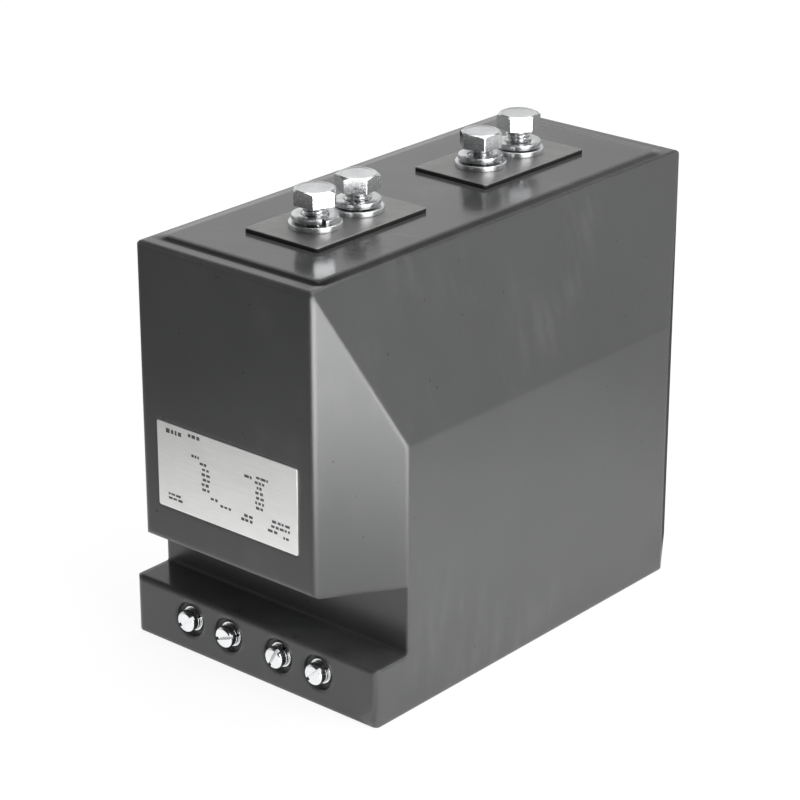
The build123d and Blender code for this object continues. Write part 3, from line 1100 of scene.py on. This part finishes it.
@dataclass
class PrimaryTerminals:
    """The two flat terminal plates on the top with their loosely set bolts and washers.

    Attributes:
        spacing: distance between the plates' centres.
        pitch: distance between the bolts of a plate.
        plate_length: length of a plate along Y.
        plate_width: width of a plate along X.
        plate_thickness: thickness of a plate.
        plateau: height that the plates stand on.
        hole: radius of the bolt holes.
        corner: cut at the plate's corners.
        edge: rounding of the plate's edges.
        columns: even steps round a hole.
        bare_shanks: bare thread under each head, from the front to the rear.
        turns: turn of each head in degrees.
        bolt: the bolt.
        washer: its washers.
    """

    spacing: float = 114.0 * MM
    pitch: float = 28.0 * MM
    plate_length: float = 73.0 * MM
    plate_width: float = 43.0 * MM
    plate_thickness: float = 2.0 * MM
    plateau: float = 202.5 * MM
    hole: float = 6.5 * MM
    corner: float = 1.0 * MM
    edge: float = 0.45 * MM
    columns: int = 72
    bare_shanks: tuple[float, ...] = (5.0 * MM, 4.7 * MM, 4.0 * MM, 6.4 * MM)
    turns: tuple[float, ...] = (8.0, 34.0, 19.0, 46.0)
    bolt: HexBolt = field(default_factory=HexBolt)
    washer: Washer = field(
        default_factory=lambda: Washer(6.5 * MM, 12 * MM, 2.5 * MM, 6.2 * MM, 10.5 * MM, 2.5 * MM, 1.1 * MM)
    )

    def places(self) -> list[tuple[float, float]]:
        """The bolt places from the front to the rear, as (x, y)."""
        ends = (-self.spacing / 2, self.spacing / 2)
        return [(0.0, end + side * self.pitch / 2) for end in ends for side in (-1, 1)]

    def half_plate(self) -> Surface:
        """Half a plate round one hole, from the plate's middle line outwards along +Y.

        A ray leaves the hole's centre at each angle. On the ring at share s it stands between the
        hole's wall and the outline, p = hole + s (outline - hole). The outline of each ring is the
        plate's rectangle drawn in by d(1 - sin t), and its height falls from the face by d(1 - cos t),
        which rounds the edge. The middle line is never drawn in, because the other half goes on there,
        and the two columns at its ends slide along it instead of along their rays.

        Returns:
            The upper and lower faces, the rounded edge and the hole's wall.
        """
        half_w = self.plate_width / 2
        reach = self.plate_length / 2
        centre = self.pitch / 2
        corners = [(half_w, 0.0), (half_w, reach - self.corner), (half_w - self.corner, reach),
                   (-half_w + self.corner, reach), (-half_w, reach - self.corner), (-half_w, 0.0)]
        marks = [math.atan2(y - centre, x) for x, y in corners]
        extra = np.linspace(0, FULL_TURN, self.columns, endpoint=False)
        angles = np.unique(np.round(np.mod(np.concatenate([marks, extra]), FULL_TURN), 7))
        dx, dy = np.cos(angles), np.sin(angles)
        nothing = 1e-9

        def outline(inset: float) -> Points:
            """Distance from the hole's centre to the outline drawn in by inset, at each angle."""
            with np.errstate(divide="ignore", invalid="ignore"):
                side = np.where(np.abs(dx) > nothing, (half_w - inset) / np.abs(dx), np.inf)
                end = np.where(dy > nothing, (reach - inset - centre) / dy, np.inf)
                middle = np.where(dy < -nothing, -centre / dy, np.inf)
                cut_far = half_w + reach - self.corner - inset * (2 - math.sqrt(2) / 2 * 1.2)
                slope = np.abs(dx) + dy
                cut = np.where(slope > nothing, (cut_far - centre) / slope, np.inf)
            return np.minimum(np.minimum(side, end), np.minimum(middle, cut))

        top = self.plate_thickness
        quarter = np.radians(np.linspace(0, 90, 6))
        insets = self.edge * (1 - np.sin(quarter))
        drops = self.edge * (1 - np.cos(quarter))
        bite = 0.2 * MM
        wall = [(self.hole + bite, top), (self.hole, top - bite), (self.hole, bite), (self.hole + bite, 0.0)]
        base = outline(0.0)
        downward = dy < -nothing
        on_middle = np.isclose(base, np.where(downward, -centre / np.where(downward, dy, 1.0), np.inf))
        ring_r, ring_z = [], []
        for radius, height in wall[::-1]:
            ring_r.append(np.full(len(angles), radius))
            ring_z.append(np.full(len(angles), height))
        rim = outline(self.edge)
        inner = np.where(on_middle, rim, outline(self.edge + 0.3 * MM))
        for radius in (0.5 * (self.hole + bite + inner), inner, rim):
            ring_r.append(radius)
            ring_z.append(np.full(len(angles), top))
        for inset, drop in zip(insets[1:], drops[1:]):
            ring_r.append(outline(inset))
            ring_z.append(np.where(on_middle, top, top - drop))
        for inset, drop in zip(insets[::-1], drops[::-1]):
            ring_r.append(outline(inset))
            ring_z.append(np.where(on_middle, 0.0, drop))
        ring_r.append(np.full(len(angles), self.hole + bite))
        ring_z.append(np.zeros(len(angles)))
        radius, height = np.array(ring_r), np.array(ring_z)
        points, faces, turning = lathe(radius, height, angles)
        columns = len(angles)
        ends = np.flatnonzero(on_middle & np.isclose(base * np.abs(dx), half_w))
        drawn = np.concatenate([[self.edge], insets, insets[::-1]])
        levels = np.concatenate([[top], top - drops, drops[::-1]])
        first = len(wall) + 1
        rims = slice(first, first + len(drawn))
        grid = points.reshape(len(height), columns, 3)
        grid[rims, ends, 0] = np.sign(dx[ends]) * (half_w - drawn[:, None])
        grid[rims, ends, 1] = -centre
        grid[rims, ends, 2] = levels[:, None]
        points = grid.reshape(-1, 3)
        ring, column = faces[:, 0] // columns, faces[:, 0] % columns
        on_edge = (ring > first) & (ring < len(height) - 2)
        on_cut = on_middle[column] & on_middle[(column + 1) % columns]
        return points + np.array([0, centre, 0]), faces[~(on_edge & on_cut)], turning

    def plate(self) -> Surface:
        """A whole plate: the half, and the same half turned by half a turn."""
        half = self.half_plate()
        return joined([half, placed(half, (0, 0, 0), turn=180)])

    def build(self, finishes: Finishes) -> None:
        """Build and dress the plates, bolts and washers.

        Args:
            finishes: the part's finishes.
        """
        ends = {"front_terminal_plate": -self.spacing / 2, "rear_terminal_plate": self.spacing / 2}
        for name, y in ends.items():
            plate = placed(self.plate(), (0, y, self.plateau))
            seat(finishes, f"{name}_finished", plate, "terminal_metal", [name])
        face = self.plateau + self.plate_thickness
        on_washer = face + self.washer.thickness
        seat_level = on_washer + self.washer.spring_thickness
        flats, springs, bolts = [], [], []
        flat, spring, bolt = self.washer.flat(), self.washer.spring(), self.bolt.surface()
        for (x, y), turn, bare in zip(self.places(), self.turns, self.bare_shanks):
            flats.append(placed(flat, (x, y, face), turn=turn))
            springs.append(placed(spring, (x, y, on_washer), turn=turn * 5 - 60))
            bolts.append(placed(bolt, (x, y, seat_level + bare), turn=turn))
        for node, form, surfaces in (
            ("primary_flat_washers", "punched", flats),
            ("primary_spring_washers", "split", springs),
            ("primary_bolts", "threaded", bolts),
        ):
            seat(finishes, f"{node}_{form}", joined(surfaces), "zinc_steel", [node], sharp_angle=25.0)


@dataclass
class SecondaryTerminals:
    """The four slotted terminal screws in the ledge, with their washers.

    Attributes:
        height: height of the screws above the base.
        floor_y: where the floors of the recesses lie.
        offsets: places of the screws along X.
        head_radius: radius of a head.
        head: height of a head.
        slot_width: width of the driver slot.
        slot_depth: depth of the driver slot.
        shank: radius of the shank.
        length: length of the shank.
        pitch: rise of one turn of the thread.
        edge: rounding of the head's rim.
        dome: how far the head's middle rises.
        turns: turn of each slot in degrees.
        washer: the washers under a head.
    """

    height: float = 16.5 * MM
    floor_y: float = -113.0 * MM
    offsets: tuple[float, ...] = (-39.4 * MM, -15.4 * MM, 15.4 * MM, 39.4 * MM)
    head_radius: float = 5.0 * MM
    head: float = 3.9 * MM
    slot_width: float = 1.6 * MM
    slot_depth: float = 2.0 * MM
    shank: float = 2.98 * MM
    length: float = 14.0 * MM
    pitch: float = 1.0 * MM
    edge: float = 1.1 * MM
    dome: float = 0.25 * MM
    turns: tuple[float, ...] = (35.0, 20.0, 62.0, 44.0)
    washer: Washer = field(
        default_factory=lambda: Washer(
            3.2 * MM, 6 * MM, 1.2 * MM, 3.2 * MM, 5.2 * MM, 1.6 * MM, 0.0, columns=64
        )
    )

    def screw_head(self) -> Surface:
        """A domed head with a slot right across it, as cross sections along the slot's width.

        Each section lies at a distance w across the slot, where the head's half width is
        c = sqrt(R^2 - w^2). It runs from the middle of the bearing face out to -c, up the wall,
        over the top to +c and back. A point at distance q from the axis has the height
        h - e(1 - sqrt(1 - (1 - (R - q)/e)^2)) within e of the wall, plus a low dome, and inside the
        slot no more than h less the slot's depth.

        Returns:
            The head with its bearing face at z = 0.
        """
        radius, edge, half = self.head_radius, self.edge, self.slot_width / 2
        outer = radius * np.sin(np.radians(np.linspace(-90, 90, 35)))
        outer = outer[np.abs(outer) > half + 0.12 * MM]
        cuts = [-half - 0.02 * MM, -half + 0.01 * MM, 0.0, half - 0.01 * MM, half + 0.02 * MM]
        across = np.sort(np.concatenate([outer, cuts]))
        along = np.sin(np.radians(np.linspace(-90, 90, 41)))
        chord = np.sqrt(np.maximum(radius**2 - across**2, 0.0))
        x = chord[:, None] * along[None, :]
        w = np.broadcast_to(across[:, None], x.shape)
        from_axis = np.minimum(np.hypot(x, w), radius)
        into_edge = np.clip(1 - (radius - from_axis) / edge, 0, 1)
        dome = self.dome * (1 - (from_axis / radius) ** 2)
        top = self.head - self.dome + dome - edge * (1 - np.sqrt(np.maximum(1 - into_edge**2, 0)))
        bed = np.where(np.abs(across) < half, self.head - self.slot_depth, self.head)
        top = np.minimum(top, bed[:, None])
        under = np.zeros_like(top)
        loop_x = np.concatenate([x, x[:, ::-1]], axis=1)
        loop_z = np.concatenate([top, under], axis=1)
        loop_w = np.concatenate([w, w[:, ::-1]], axis=1)
        points = np.stack([loop_x, loop_w, loop_z], axis=-1).reshape(-1, 3)
        turning = np.stack([np.arctan2(loop_w, loop_x), np.hypot(loop_x, loop_w), loop_z], axis=-1)
        return points, grid_faces(*loop_x.shape), turning.reshape(-1, 3)

    def screw_shank(self) -> Surface:
        """The threaded shank below the head, closed at both ends."""
        angles = np.linspace(0, FULL_TURN, 32, endpoint=False)
        depth = THREAD_DEPTH * self.pitch
        z = np.linspace(-self.length, 0.0, 112)
        radius = self.shank - depth + thread_depth(angles, z, self.pitch, depth)
        radius = np.minimum(radius, (self.shank - 1.1 * MM + (z + self.length))[:, None])
        nothing = np.zeros((1, len(angles)))
        radius = np.concatenate([nothing, radius, nothing])
        height = np.concatenate([z[:1], z, z[-1:]])[:, None]
        return lathe(radius, height, angles)

    def build(self, finishes: Finishes) -> None:
        """Build and dress the screws and washers.

        Args:
            finishes: the part's finishes.
        """
        on_washer = self.washer.thickness
        on_spring = on_washer + self.washer.spring_thickness
        flats, springs, screws = [], [], []
        flat, spring = self.washer.flat(), self.washer.spring()
        screw = joined([self.screw_head(), self.screw_shank()])
        stack = ((flats, flat, 0.0), (springs, spring, on_washer), (screws, screw, on_spring))
        for x, turn in zip(self.offsets, self.turns):
            for surfaces, surface, out in stack:
                place = (x, self.floor_y - out, self.height)
                surfaces.append(placed(surface, place, turn=turn, tilt=90))
        for node, form, surfaces in (
            ("secondary_flat_washers", "punched", flats),
            ("secondary_spring_washers", "split", springs),
            ("secondary_screws", "slotted", screws),
        ):
            seat(finishes, f"{node}_{form}", joined(surfaces), "zinc_steel", [node])


@dataclass
class BaseInserts:
    """The four threaded brass inserts in the underside.

    Attributes:
        spacing: distance between them along X and Y.
        outer: outer radius.
        length: length into the block.
        hole: radius of the thread's crest.
        depth: depth of the threaded hole.
        pitch: rise of one turn of the thread.
        cut: depth of the thread.
        groove: depth of the two grooves round the outside.
    """

    spacing: tuple[float, float] = (110.0 * MM, 170.0 * MM)
    outer: float = 9.0 * MM
    length: float = 22.0 * MM
    hole: float = 5.1 * MM
    depth: float = 16.0 * MM
    pitch: float = 1.75 * MM
    cut: float = 0.85 * MM
    groove: float = 1.0 * MM

    def surface(self) -> Surface:
        """One insert as a single closed surface, standing on its mouth at z = 0.

        The rings go from the middle of the hole's bottom down the threaded wall, whose radius is the
        hole's less nothing at the crest and more by the thread's depth at its root, out over the
        mouth's chamfer and face, up the grooved outside and in over the far end.

        Returns:
            The insert.
        """
        angles = np.linspace(0, FULL_TURN, 56, endpoint=False)
        wall_z = np.linspace(self.depth - 0.2 * MM, 0.9 * MM, 66)
        wall_r = self.hole + (self.cut - thread_depth(angles, wall_z, self.pitch, self.cut))
        wide = np.ones((1, len(angles)))
        start = np.array([(self.depth, 0.0), (self.depth, self.hole)])
        outside = [(self.cut, self.hole + 0.3 * MM), (0.0, 6.3 * MM)]
        outside += [(0.0, self.outer - 0.15 * MM), (0.15 * MM, self.outer)]
        for share in (1 / 3, 2 / 3):
            middle = self.length * share
            inner, before, behind = self.outer - self.groove, middle - 1.5 * MM, middle + 1.5 * MM
            outside += [(before, self.outer), (before, inner), (behind, inner), (behind, self.outer)]
        outside += [(self.length, self.outer), (self.length, 0.0)]
        after = np.array(outside)
        radius = np.concatenate([start[:, 1:] * wide, wall_r, after[:, 1:] * wide])
        height = np.concatenate([start[:, :1] * wide, wall_z[:, None] * wide, after[:, :1] * wide])
        return lathe(radius, height, angles)

    def build(self, finishes: Finishes) -> None:
        """Build and dress the inserts.

        Args:
            finishes: the part's finishes.
        """
        half_x, half_y = self.spacing[0] / 2, self.spacing[1] / 2
        one = self.surface()
        places = [(x, y, 0.0) for y in (-half_y, half_y) for x in (-half_x, half_x)]
        inserts = joined([placed(one, place) for place in places])
        seat(finishes, "base_inserts_threaded", inserts, "brass", ["base_inserts"])


@dataclass
class Nameplate:
    """The thin plate on the front, with plain printed marks that spell nothing.

    Attributes:
        width: width along X.
        height: height along Z.
        centre_z: height of its middle.
        back_y: where its back lies.
        thickness: thickness of the plate.
        corner: radius of its corners.
        ink: thickness of the printing.
        rows: left end, height, length and thickness of each printed row, in millimetres from the
            plate's middle.
    """

    width: float = 84.0 * MM
    height: float = 41.0 * MM
    centre_z: float = 99.8 * MM
    back_y: float = -129.5 * MM
    thickness: float = 0.76 * MM
    corner: float = 1.0 * MM
    ink: float = 0.03 * MM
    rows: tuple[tuple[float, float, float, float], ...] = (
        (-36.4, 16.8, 9.6, 2.0), (-22.8, 18.0, 7.0, 1.5),
        (-21.0, 8.8, 4.6, 1.3), (-16.0, 6.4, 5.0, 1.3), (-14.6, 4.0, 5.2, 1.2), (-15.0, 1.6, 5.0, 1.3),
        (-14.4, -0.8, 4.4, 1.2), (-15.2, -3.2, 5.0, 1.3), (-14.8, -5.6, 4.4, 1.2), (-9.8, -8.6, 4.6, 1.3),
        (11.0, 8.6, 4.4, 1.3), (18.0, 9.6, 7.0, 1.2), (17.2, 7.2, 5.6, 1.3), (18.2, 4.8, 4.4, 1.3),
        (17.4, 2.4, 5.2, 1.3), (17.8, 0.0, 4.6, 1.3), (17.2, -2.4, 5.4, 1.3), (17.6, -4.8, 5.0, 1.3),
        (-4.0, -10.4, 6.4, 1.1), (10.4, -10.4, 6.0, 1.3), (8.6, -12.6, 7.4, 1.3),
        (27.0, -8.4, 10.4, 1.3), (26.4, -10.8, 11.0, 1.2), (24.4, -13.2, 5.6, 1.2), (33.4, -14.4, 4.6, 1.3),
        (-36.0, -13.6, 7.6, 1.1), (-36.0, -15.6, 8.6, 1.1),
    )

    def slab(self) -> Surface:
        """The plate as outlines drawn in and closed to its middle, front and back.

        Each ring is a rounded rectangle whose sides are drawn in by an inset, at its own depth:
        (u, w) = corner centre + r (cos t, sin t), with the corner centres at half the size less the
        corner radius. The rings go from the middle of the back to the middle of the front.

        Returns:
            The plate about the origin, facing +Z, with its back at z = 0.
        """
        soft = 0.12 * MM
        front = self.thickness
        rings = [(None, 0.0), (0.0, 0.0), (0.0, front - soft), (soft * 0.3, front - soft * 0.3)]
        rings += [(soft, front), (soft * 3, front), (None, front)]
        outline = ring_section(self.width, self.height, self.corner, 5)
        points = []
        for inset, depth in rings:
            share = 0.0 if inset is None else 1 - 2 * inset / np.array([self.width, self.height])
            points.append(np.column_stack([outline * share, np.full(len(outline), depth)]))
        grid = np.concatenate(points)
        return grid, grid_faces(len(rings), len(points[0])), grid.copy()

    def bars(self) -> list[tuple[float, float, float, float]]:
        """Places and sizes of the printed bars, in millimetres from the plate's middle.

        Returns:
            Middle x, middle z, width and height of each bar.
        """
        draw = np.random.default_rng(7)
        bars = []
        for left, z, length, height in self.rows:
            x = left
            while x < left + length - 0.8:
                width = min(draw.uniform(1.1, 3.0), left + length - x)
                bars.append((x + width / 2, z, width, height * draw.uniform(0.85, 1.1)))
                x += width + draw.uniform(0.45, 0.9)
        return bars

    def marks(self) -> Surface:
        """All printed bars as low closed boxes that stand a little way out of the plate.

        Returns:
            The bars about the origin, facing +Z, on the plate's front.
        """
        bars = np.array(self.bars()) * MM
        corner = np.array([(-1, -1), (1, -1), (1, 1), (-1, 1)]) / 2
        outline = bars[:, None, :2] + corner[None] * bars[:, None, 2:]
        low = np.full((*outline.shape[:2], 1), self.thickness - 2 * self.ink)
        boxes = np.concatenate([np.dstack([outline, low]), np.dstack([outline, low + 3 * self.ink])], axis=1)
        one = np.array([(0, 3, 2, 1), (4, 5, 6, 7), (0, 1, 5, 4), (1, 2, 6, 5), (2, 3, 7, 6), (3, 0, 4, 7)])
        faces = (one[None] + 8 * np.arange(len(bars))[:, None, None]).reshape(-1, 4)
        points = boxes.reshape(-1, 3)
        return points, faces, points.copy()

    def build(self, finishes: Finishes) -> None:
        """Build and dress the plate and its marks.

        Args:
            finishes: the part's finishes.
        """
        place = (0, self.back_y, self.centre_z)
        seat(finishes, "nameplate_blank", placed(self.slab(), place, tilt=90), "nameplate", ["nameplate"])
        seat(finishes, "nameplate_marks", placed(self.marks(), place, tilt=90), "nameplate", [], finish="ink")


@dataclass
class CastBlock:
    """The resin block and the pieces cast into it, which keep their CAD forms.

    Attributes:
        slots: the record's slot of each CAD node.
        replaced: the CAD nodes that new pieces stand for.
    """

    slots: dict[str, str]
    replaced: tuple[str, ...] = (
        "front_terminal_plate", "rear_terminal_plate", "primary_flat_washers", "primary_spring_washers",
        "primary_bolts", "secondary_flat_washers", "secondary_spring_washers", "secondary_screws",
        "base_inserts", "nameplate",
    )

    def build(self, finishes: Finishes, nodes: dict[str, bpy.types.Object]) -> None:
        """Dress every CAD node that no new piece stands for.

        Args:
            finishes: the part's finishes.
            nodes: the CAD nodes by name.
        """
        for name, node in nodes.items():
            if name in self.replaced:
                continue
            finish = "bush_brass" if name.endswith("bushes") else self.slots[name]
            finishes.dress(node, finish)
            LOG.info("node %s: dressed as %s", name, finish)


@dataclass
class Studio:
    """Floor, backdrop, lamps and camera.

    A step is where it starts and ends, and its results there. A direction or place on the floor is in
    the part's own axes.

    Attributes:
        eye: place of the camera.
        azimuth: direction of the camera round the part, in degrees from -Y towards +X.
        elevation: height of the camera above the horizon in degrees.
        focal_pixels: focal length in pixels of a picture as wide as picture_width.
        picture_width: width of that picture in pixels.
        sensor: width of the camera's sensor in millimetres.
        floor_reach: how far the floor goes on.
        floor_cells: cells of the floor along each side.
        floor_white: step of the camera's share of plain white, by the distance from the part.
        pool: step of the light round the part, by the distance from its front.
        right_light: step of the light on the right, by X.
        card_start: place that the light cards are measured from, at the corner chamfer's foot.
        card_along: direction in which the chamfer looks.
        card: step of the strip card, by the distance that way.
        wedges: angles where each wedge card begins, is full, begins to end and ends, in radians.
        wedge: step of the wedge cards, by the distance from their start.
        backdrop_along: direction from the camera to the backdrop.
        backdrop_right: direction to the right of it.
    """

    eye: Triple = (0.78685, -0.92935, 0.60428)
    azimuth: float = 40.693
    elevation: float = 22.507
    focal_pixels: float = 2817.9
    picture_width: float = 800.0
    sensor: float = 36.0
    floor_reach: float = 14.0
    floor_cells: int = 8
    floor_white: Step = (0.5, 1.8, 0.83, 1.0)
    pool: Step = (0.15, 0.50, 1.35, 0.30)
    right_light: Step = (0.05, 0.18, 0.0, 0.38)
    card_start: Triple = (0.06, -0.12, 0.0)
    card_along: Triple = (0.955, -0.297, 0.0)
    card: Step = (0.19, 0.42, 0.0, 8.3)
    wedges: tuple[Step, ...] = ((0.15, 0.45, 0.95, 1.20), (1.42, 1.55, 1.85, 2.08))
    wedge: Step = (0.16, 0.42, 1.0, 14.0)
    backdrop_along: Triple = (-0.652, 0.758, 0.0)
    backdrop_right: Triple = (0.758, 0.652, 0.0)

    def camera(self) -> None:
        """Place the camera, level, at the photograph's angle."""
        data = bpy.data.cameras.new("studio_camera")
        data.sensor_width = self.sensor
        data.lens = self.focal_pixels * self.sensor / self.picture_width
        data.clip_start, data.clip_end = 0.05, 40.0
        holder = bpy.data.objects.new("studio_camera", data)
        a, e = math.radians(self.azimuth), math.radians(self.elevation)
        back = np.array([math.sin(a) * math.cos(e), -math.cos(a) * math.cos(e), math.sin(e)])
        right = np.array([math.cos(a), math.sin(a), 0.0])
        up = np.cross(back, right)
        frame = np.eye(4)
        frame[:3, 0], frame[:3, 1], frame[:3, 2], frame[:3, 3] = right, up, back, self.eye
        holder.matrix_world = Matrix(frame.tolist())
        bpy.context.scene.collection.objects.link(holder)
        bpy.context.scene.camera = holder

    def lamp(self, name: str, place: Triple, aim: Triple, size: tuple[float, float], power: float) -> None:
        """Place a soft rectangular lamp.

        Args:
            name: name of the lamp.
            place: its middle.
            aim: the point that it faces.
            size: its width and height.
            power: its power in watts.
        """
        data = bpy.data.lights.new(name, "AREA")
        data.shape = "RECTANGLE"
        data.size, data.size_y = size
        data.energy = power
        holder = bpy.data.objects.new(name, data)
        direction = (np.array(aim) - np.array(place)).tolist()
        holder.matrix_world = Matrix.Translation(place) @ look_along(direction)
        holder.visible_camera = False
        bpy.context.scene.collection.objects.link(holder)

    def floor(self) -> None:
        """Lay a pale floor that keeps the shadow and goes on into a white background."""
        cells, across = self.floor_cells, self.floor_cells + 1
        steps = np.linspace(-self.floor_reach, self.floor_reach, across)
        x, y = np.meshgrid(steps, steps, indexing="ij")
        points = np.stack([x, y, np.full_like(x, -0.05 * MM)], axis=-1).reshape(-1, 3)
        i, j = np.meshgrid(np.arange(cells), np.arange(cells), indexing="ij")
        corner = i * across + j
        faces = np.stack([corner, corner + across, corner + across + 1, corner + 1], axis=-1).reshape(-1, 4)
        mesh = bpy.data.meshes.new("studio_floor")
        mesh.from_pydata(points.tolist(), [], faces.tolist())
        floor = bpy.data.objects.new("studio_floor", mesh)
        bpy.context.scene.collection.objects.link(floor)
        material, board, shader = new_material("pale floor")
        board.fill(shader, {"Base Color": (0.88, 0.88, 0.88, 1), "Roughness": 0.9, "Specular IOR Level": 0.0})
        path = board.node("LightPath").outputs
        place = board.node("TexCoord").outputs["Object"]
        white = board.node("Emission", {"Color": WHITE, "Strength": 1.08}).outputs[0]
        glow = board.node("Emission", {"Color": WHITE, "Strength": self.floor_glow(board, place)}).outputs[0]
        seen = board.times(path["Is Camera Ray"], board.ramp(board.gauge("LENGTH", place), *self.floor_white))
        first = board.node("MixShader", {0: seen, 1: shader.outputs[0], 2: white}).outputs[0]
        whole = board.node("MixShader", {0: path["Is Glossy Ray"], 1: first, 2: glow}).outputs[0]
        board.fill(board.find("OUTPUT_MATERIAL"), {"Surface": whole})
        mesh.materials.append(material)

    def floor_glow(self, board: Board, place: Socket) -> Socket:
        """How bright gloss sees the floor: a pool round the part, light cards at its right, shade behind.

        The first card is a strip that the corner chamfer mirrors. The other two are wedges at either
        side of it, by the angle round the corner's foot, and light up the chamfer's rounded edges.

        Args:
            board: board of the floor's material.
            place: the floor's own coordinates.

        Returns:
            The strength at each place of the floor.
        """
        along = board.axes(place)
        pool = board.ramp(board.gauge("DISTANCE", place, (0.0, -0.02, 0.0)), *self.pool)
        light = board.plus(pool, board.ramp(along["X"], *self.right_light))
        behind = board.times(board.ramp(along["Y"], 0.095, 0.13), board.ramp(along["X"], 0.100, 0.055), 0.95)
        between = board.node("VectorMath", {0: place, 1: self.card_start}, operation="SUBTRACT")
        start = between.outputs["Vector"]
        aside = (-self.card_along[1], self.card_along[0], 0.0)
        edge = board.ramp(board.math("ABSOLUTE", board.gauge("DOT_PRODUCT", start, aside)), 0.30, 0.12)
        card = board.times(board.ramp(board.gauge("DOT_PRODUCT", start, self.card_along), *self.card), edge)
        offset = board.axes(start)
        angle = board.math("ARCTAN2", offset["X"], board.times(offset["Y"], -1.0))
        distance = board.gauge("LENGTH", start)
        spread = board.ramp(distance, *self.wedge)
        corners = board.plus(*(
            board.times(board.ramp(angle, begin, full), board.ramp(angle, end, fade), spread)
            for begin, full, fade, end in self.wedges
        ))
        cards = board.plus(card, board.times(corners, board.ramp(distance, 1.60, 0.90)))
        return board.plus(board.times(light, board.rest(behind)), cards)

    def world(self) -> None:
        """White background to the camera, a white backdrop under a dim ceiling to gloss, and low fill."""
        world = bpy.data.worlds.new("studio")
        bpy.context.scene.world = world
        world.use_nodes = True
        board = Board(world.node_tree)
        board.tree.nodes.clear()
        path = board.node("LightPath").outputs
        direction = board.node("TexCoord").outputs["Generated"]
        away = board.gauge("DOT_PRODUCT", direction, self.backdrop_along)
        backdrop = board.ramp(away, -0.25, 0.15, 0.07, 1.0)
        right = board.gauge("DOT_PRODUCT", direction, self.backdrop_right)
        fold = board.times(board.ramp(right, 0.0, 0.09, 0.0, 0.25), board.ramp(right, 0.50, 0.30))
        ceiling = board.ramp(board.axes(direction)["Z"], 0.43, 0.55, 1.0, 0.07)
        shade = board.times(ceiling, board.times(backdrop, board.rest(fold)))
        seen, gloss, fill = (
            board.node("Background", {"Color": WHITE, "Strength": strength}).outputs[0]
            for strength in (1.0, shade, 0.22)
        )
        mirror = board.math("MAXIMUM", path["Is Glossy Ray"], path["Is Transmission Ray"])
        first = board.node("MixShader", {0: mirror, 1: fill, 2: gloss}).outputs[0]
        whole = board.node("MixShader", {0: path["Is Camera Ray"], 1: first, 2: seen}).outputs[0]
        board.node("OutputWorld", {"Surface": whole})

    def build(self) -> None:
        """Set the stage."""
        self.camera()
        self.floor()
        self.world()
        self.lamp("key_panel", (0.75, -0.12, 0.36), (0.0, 0.0, 0.10), (0.60, 0.50), 5.5)
        self.lamp("overhead_panel", (0.05, 0.40, 1.60), (0.0, 0.05, 0.0), (1.5, 1.5), 18.0)
        bpy.context.scene.view_settings.view_transform = "Standard"


def look_along(direction: list[float]) -> Matrix:
    """A turn that points a lamp's -Z along a direction, with its X level.

    Args:
        direction: where the lamp shines.

    Returns:
        The turn as a 4 by 4 matrix.
    """
    back = -np.array(direction) / np.linalg.norm(direction)
    level = np.array([0.0, 0.0, 1.0]) if abs(back[2]) < 0.98 else np.array([0.0, 1.0, 0.0])
    right = np.cross(level, back)
    right /= np.linalg.norm(right)
    turn = np.eye(4)
    turn[:3, 0], turn[:3, 1], turn[:3, 2] = right, np.cross(back, right), back
    return Matrix(turn.tolist())


def main() -> None:
    """Build the classes in order."""
    logging.basicConfig(level=logging.INFO, format="%(name)s: %(message)s")
    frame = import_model()
    effects = SharedEffects()
    effects.build()
    finishes = Finishes(effects)
    finishes.build()
    slots = {part["node"]: part["material_slot"] for part in frame["record"]["subparts"]}
    Studio().build()
    CastBlock(slots).build(finishes, frame["nodes"])
    PrimaryTerminals().build(finishes)
    SecondaryTerminals().build(finishes)
    BaseInserts().build(finishes)
    Nameplate().build(finishes)


if __name__ == "__main__":
    main()
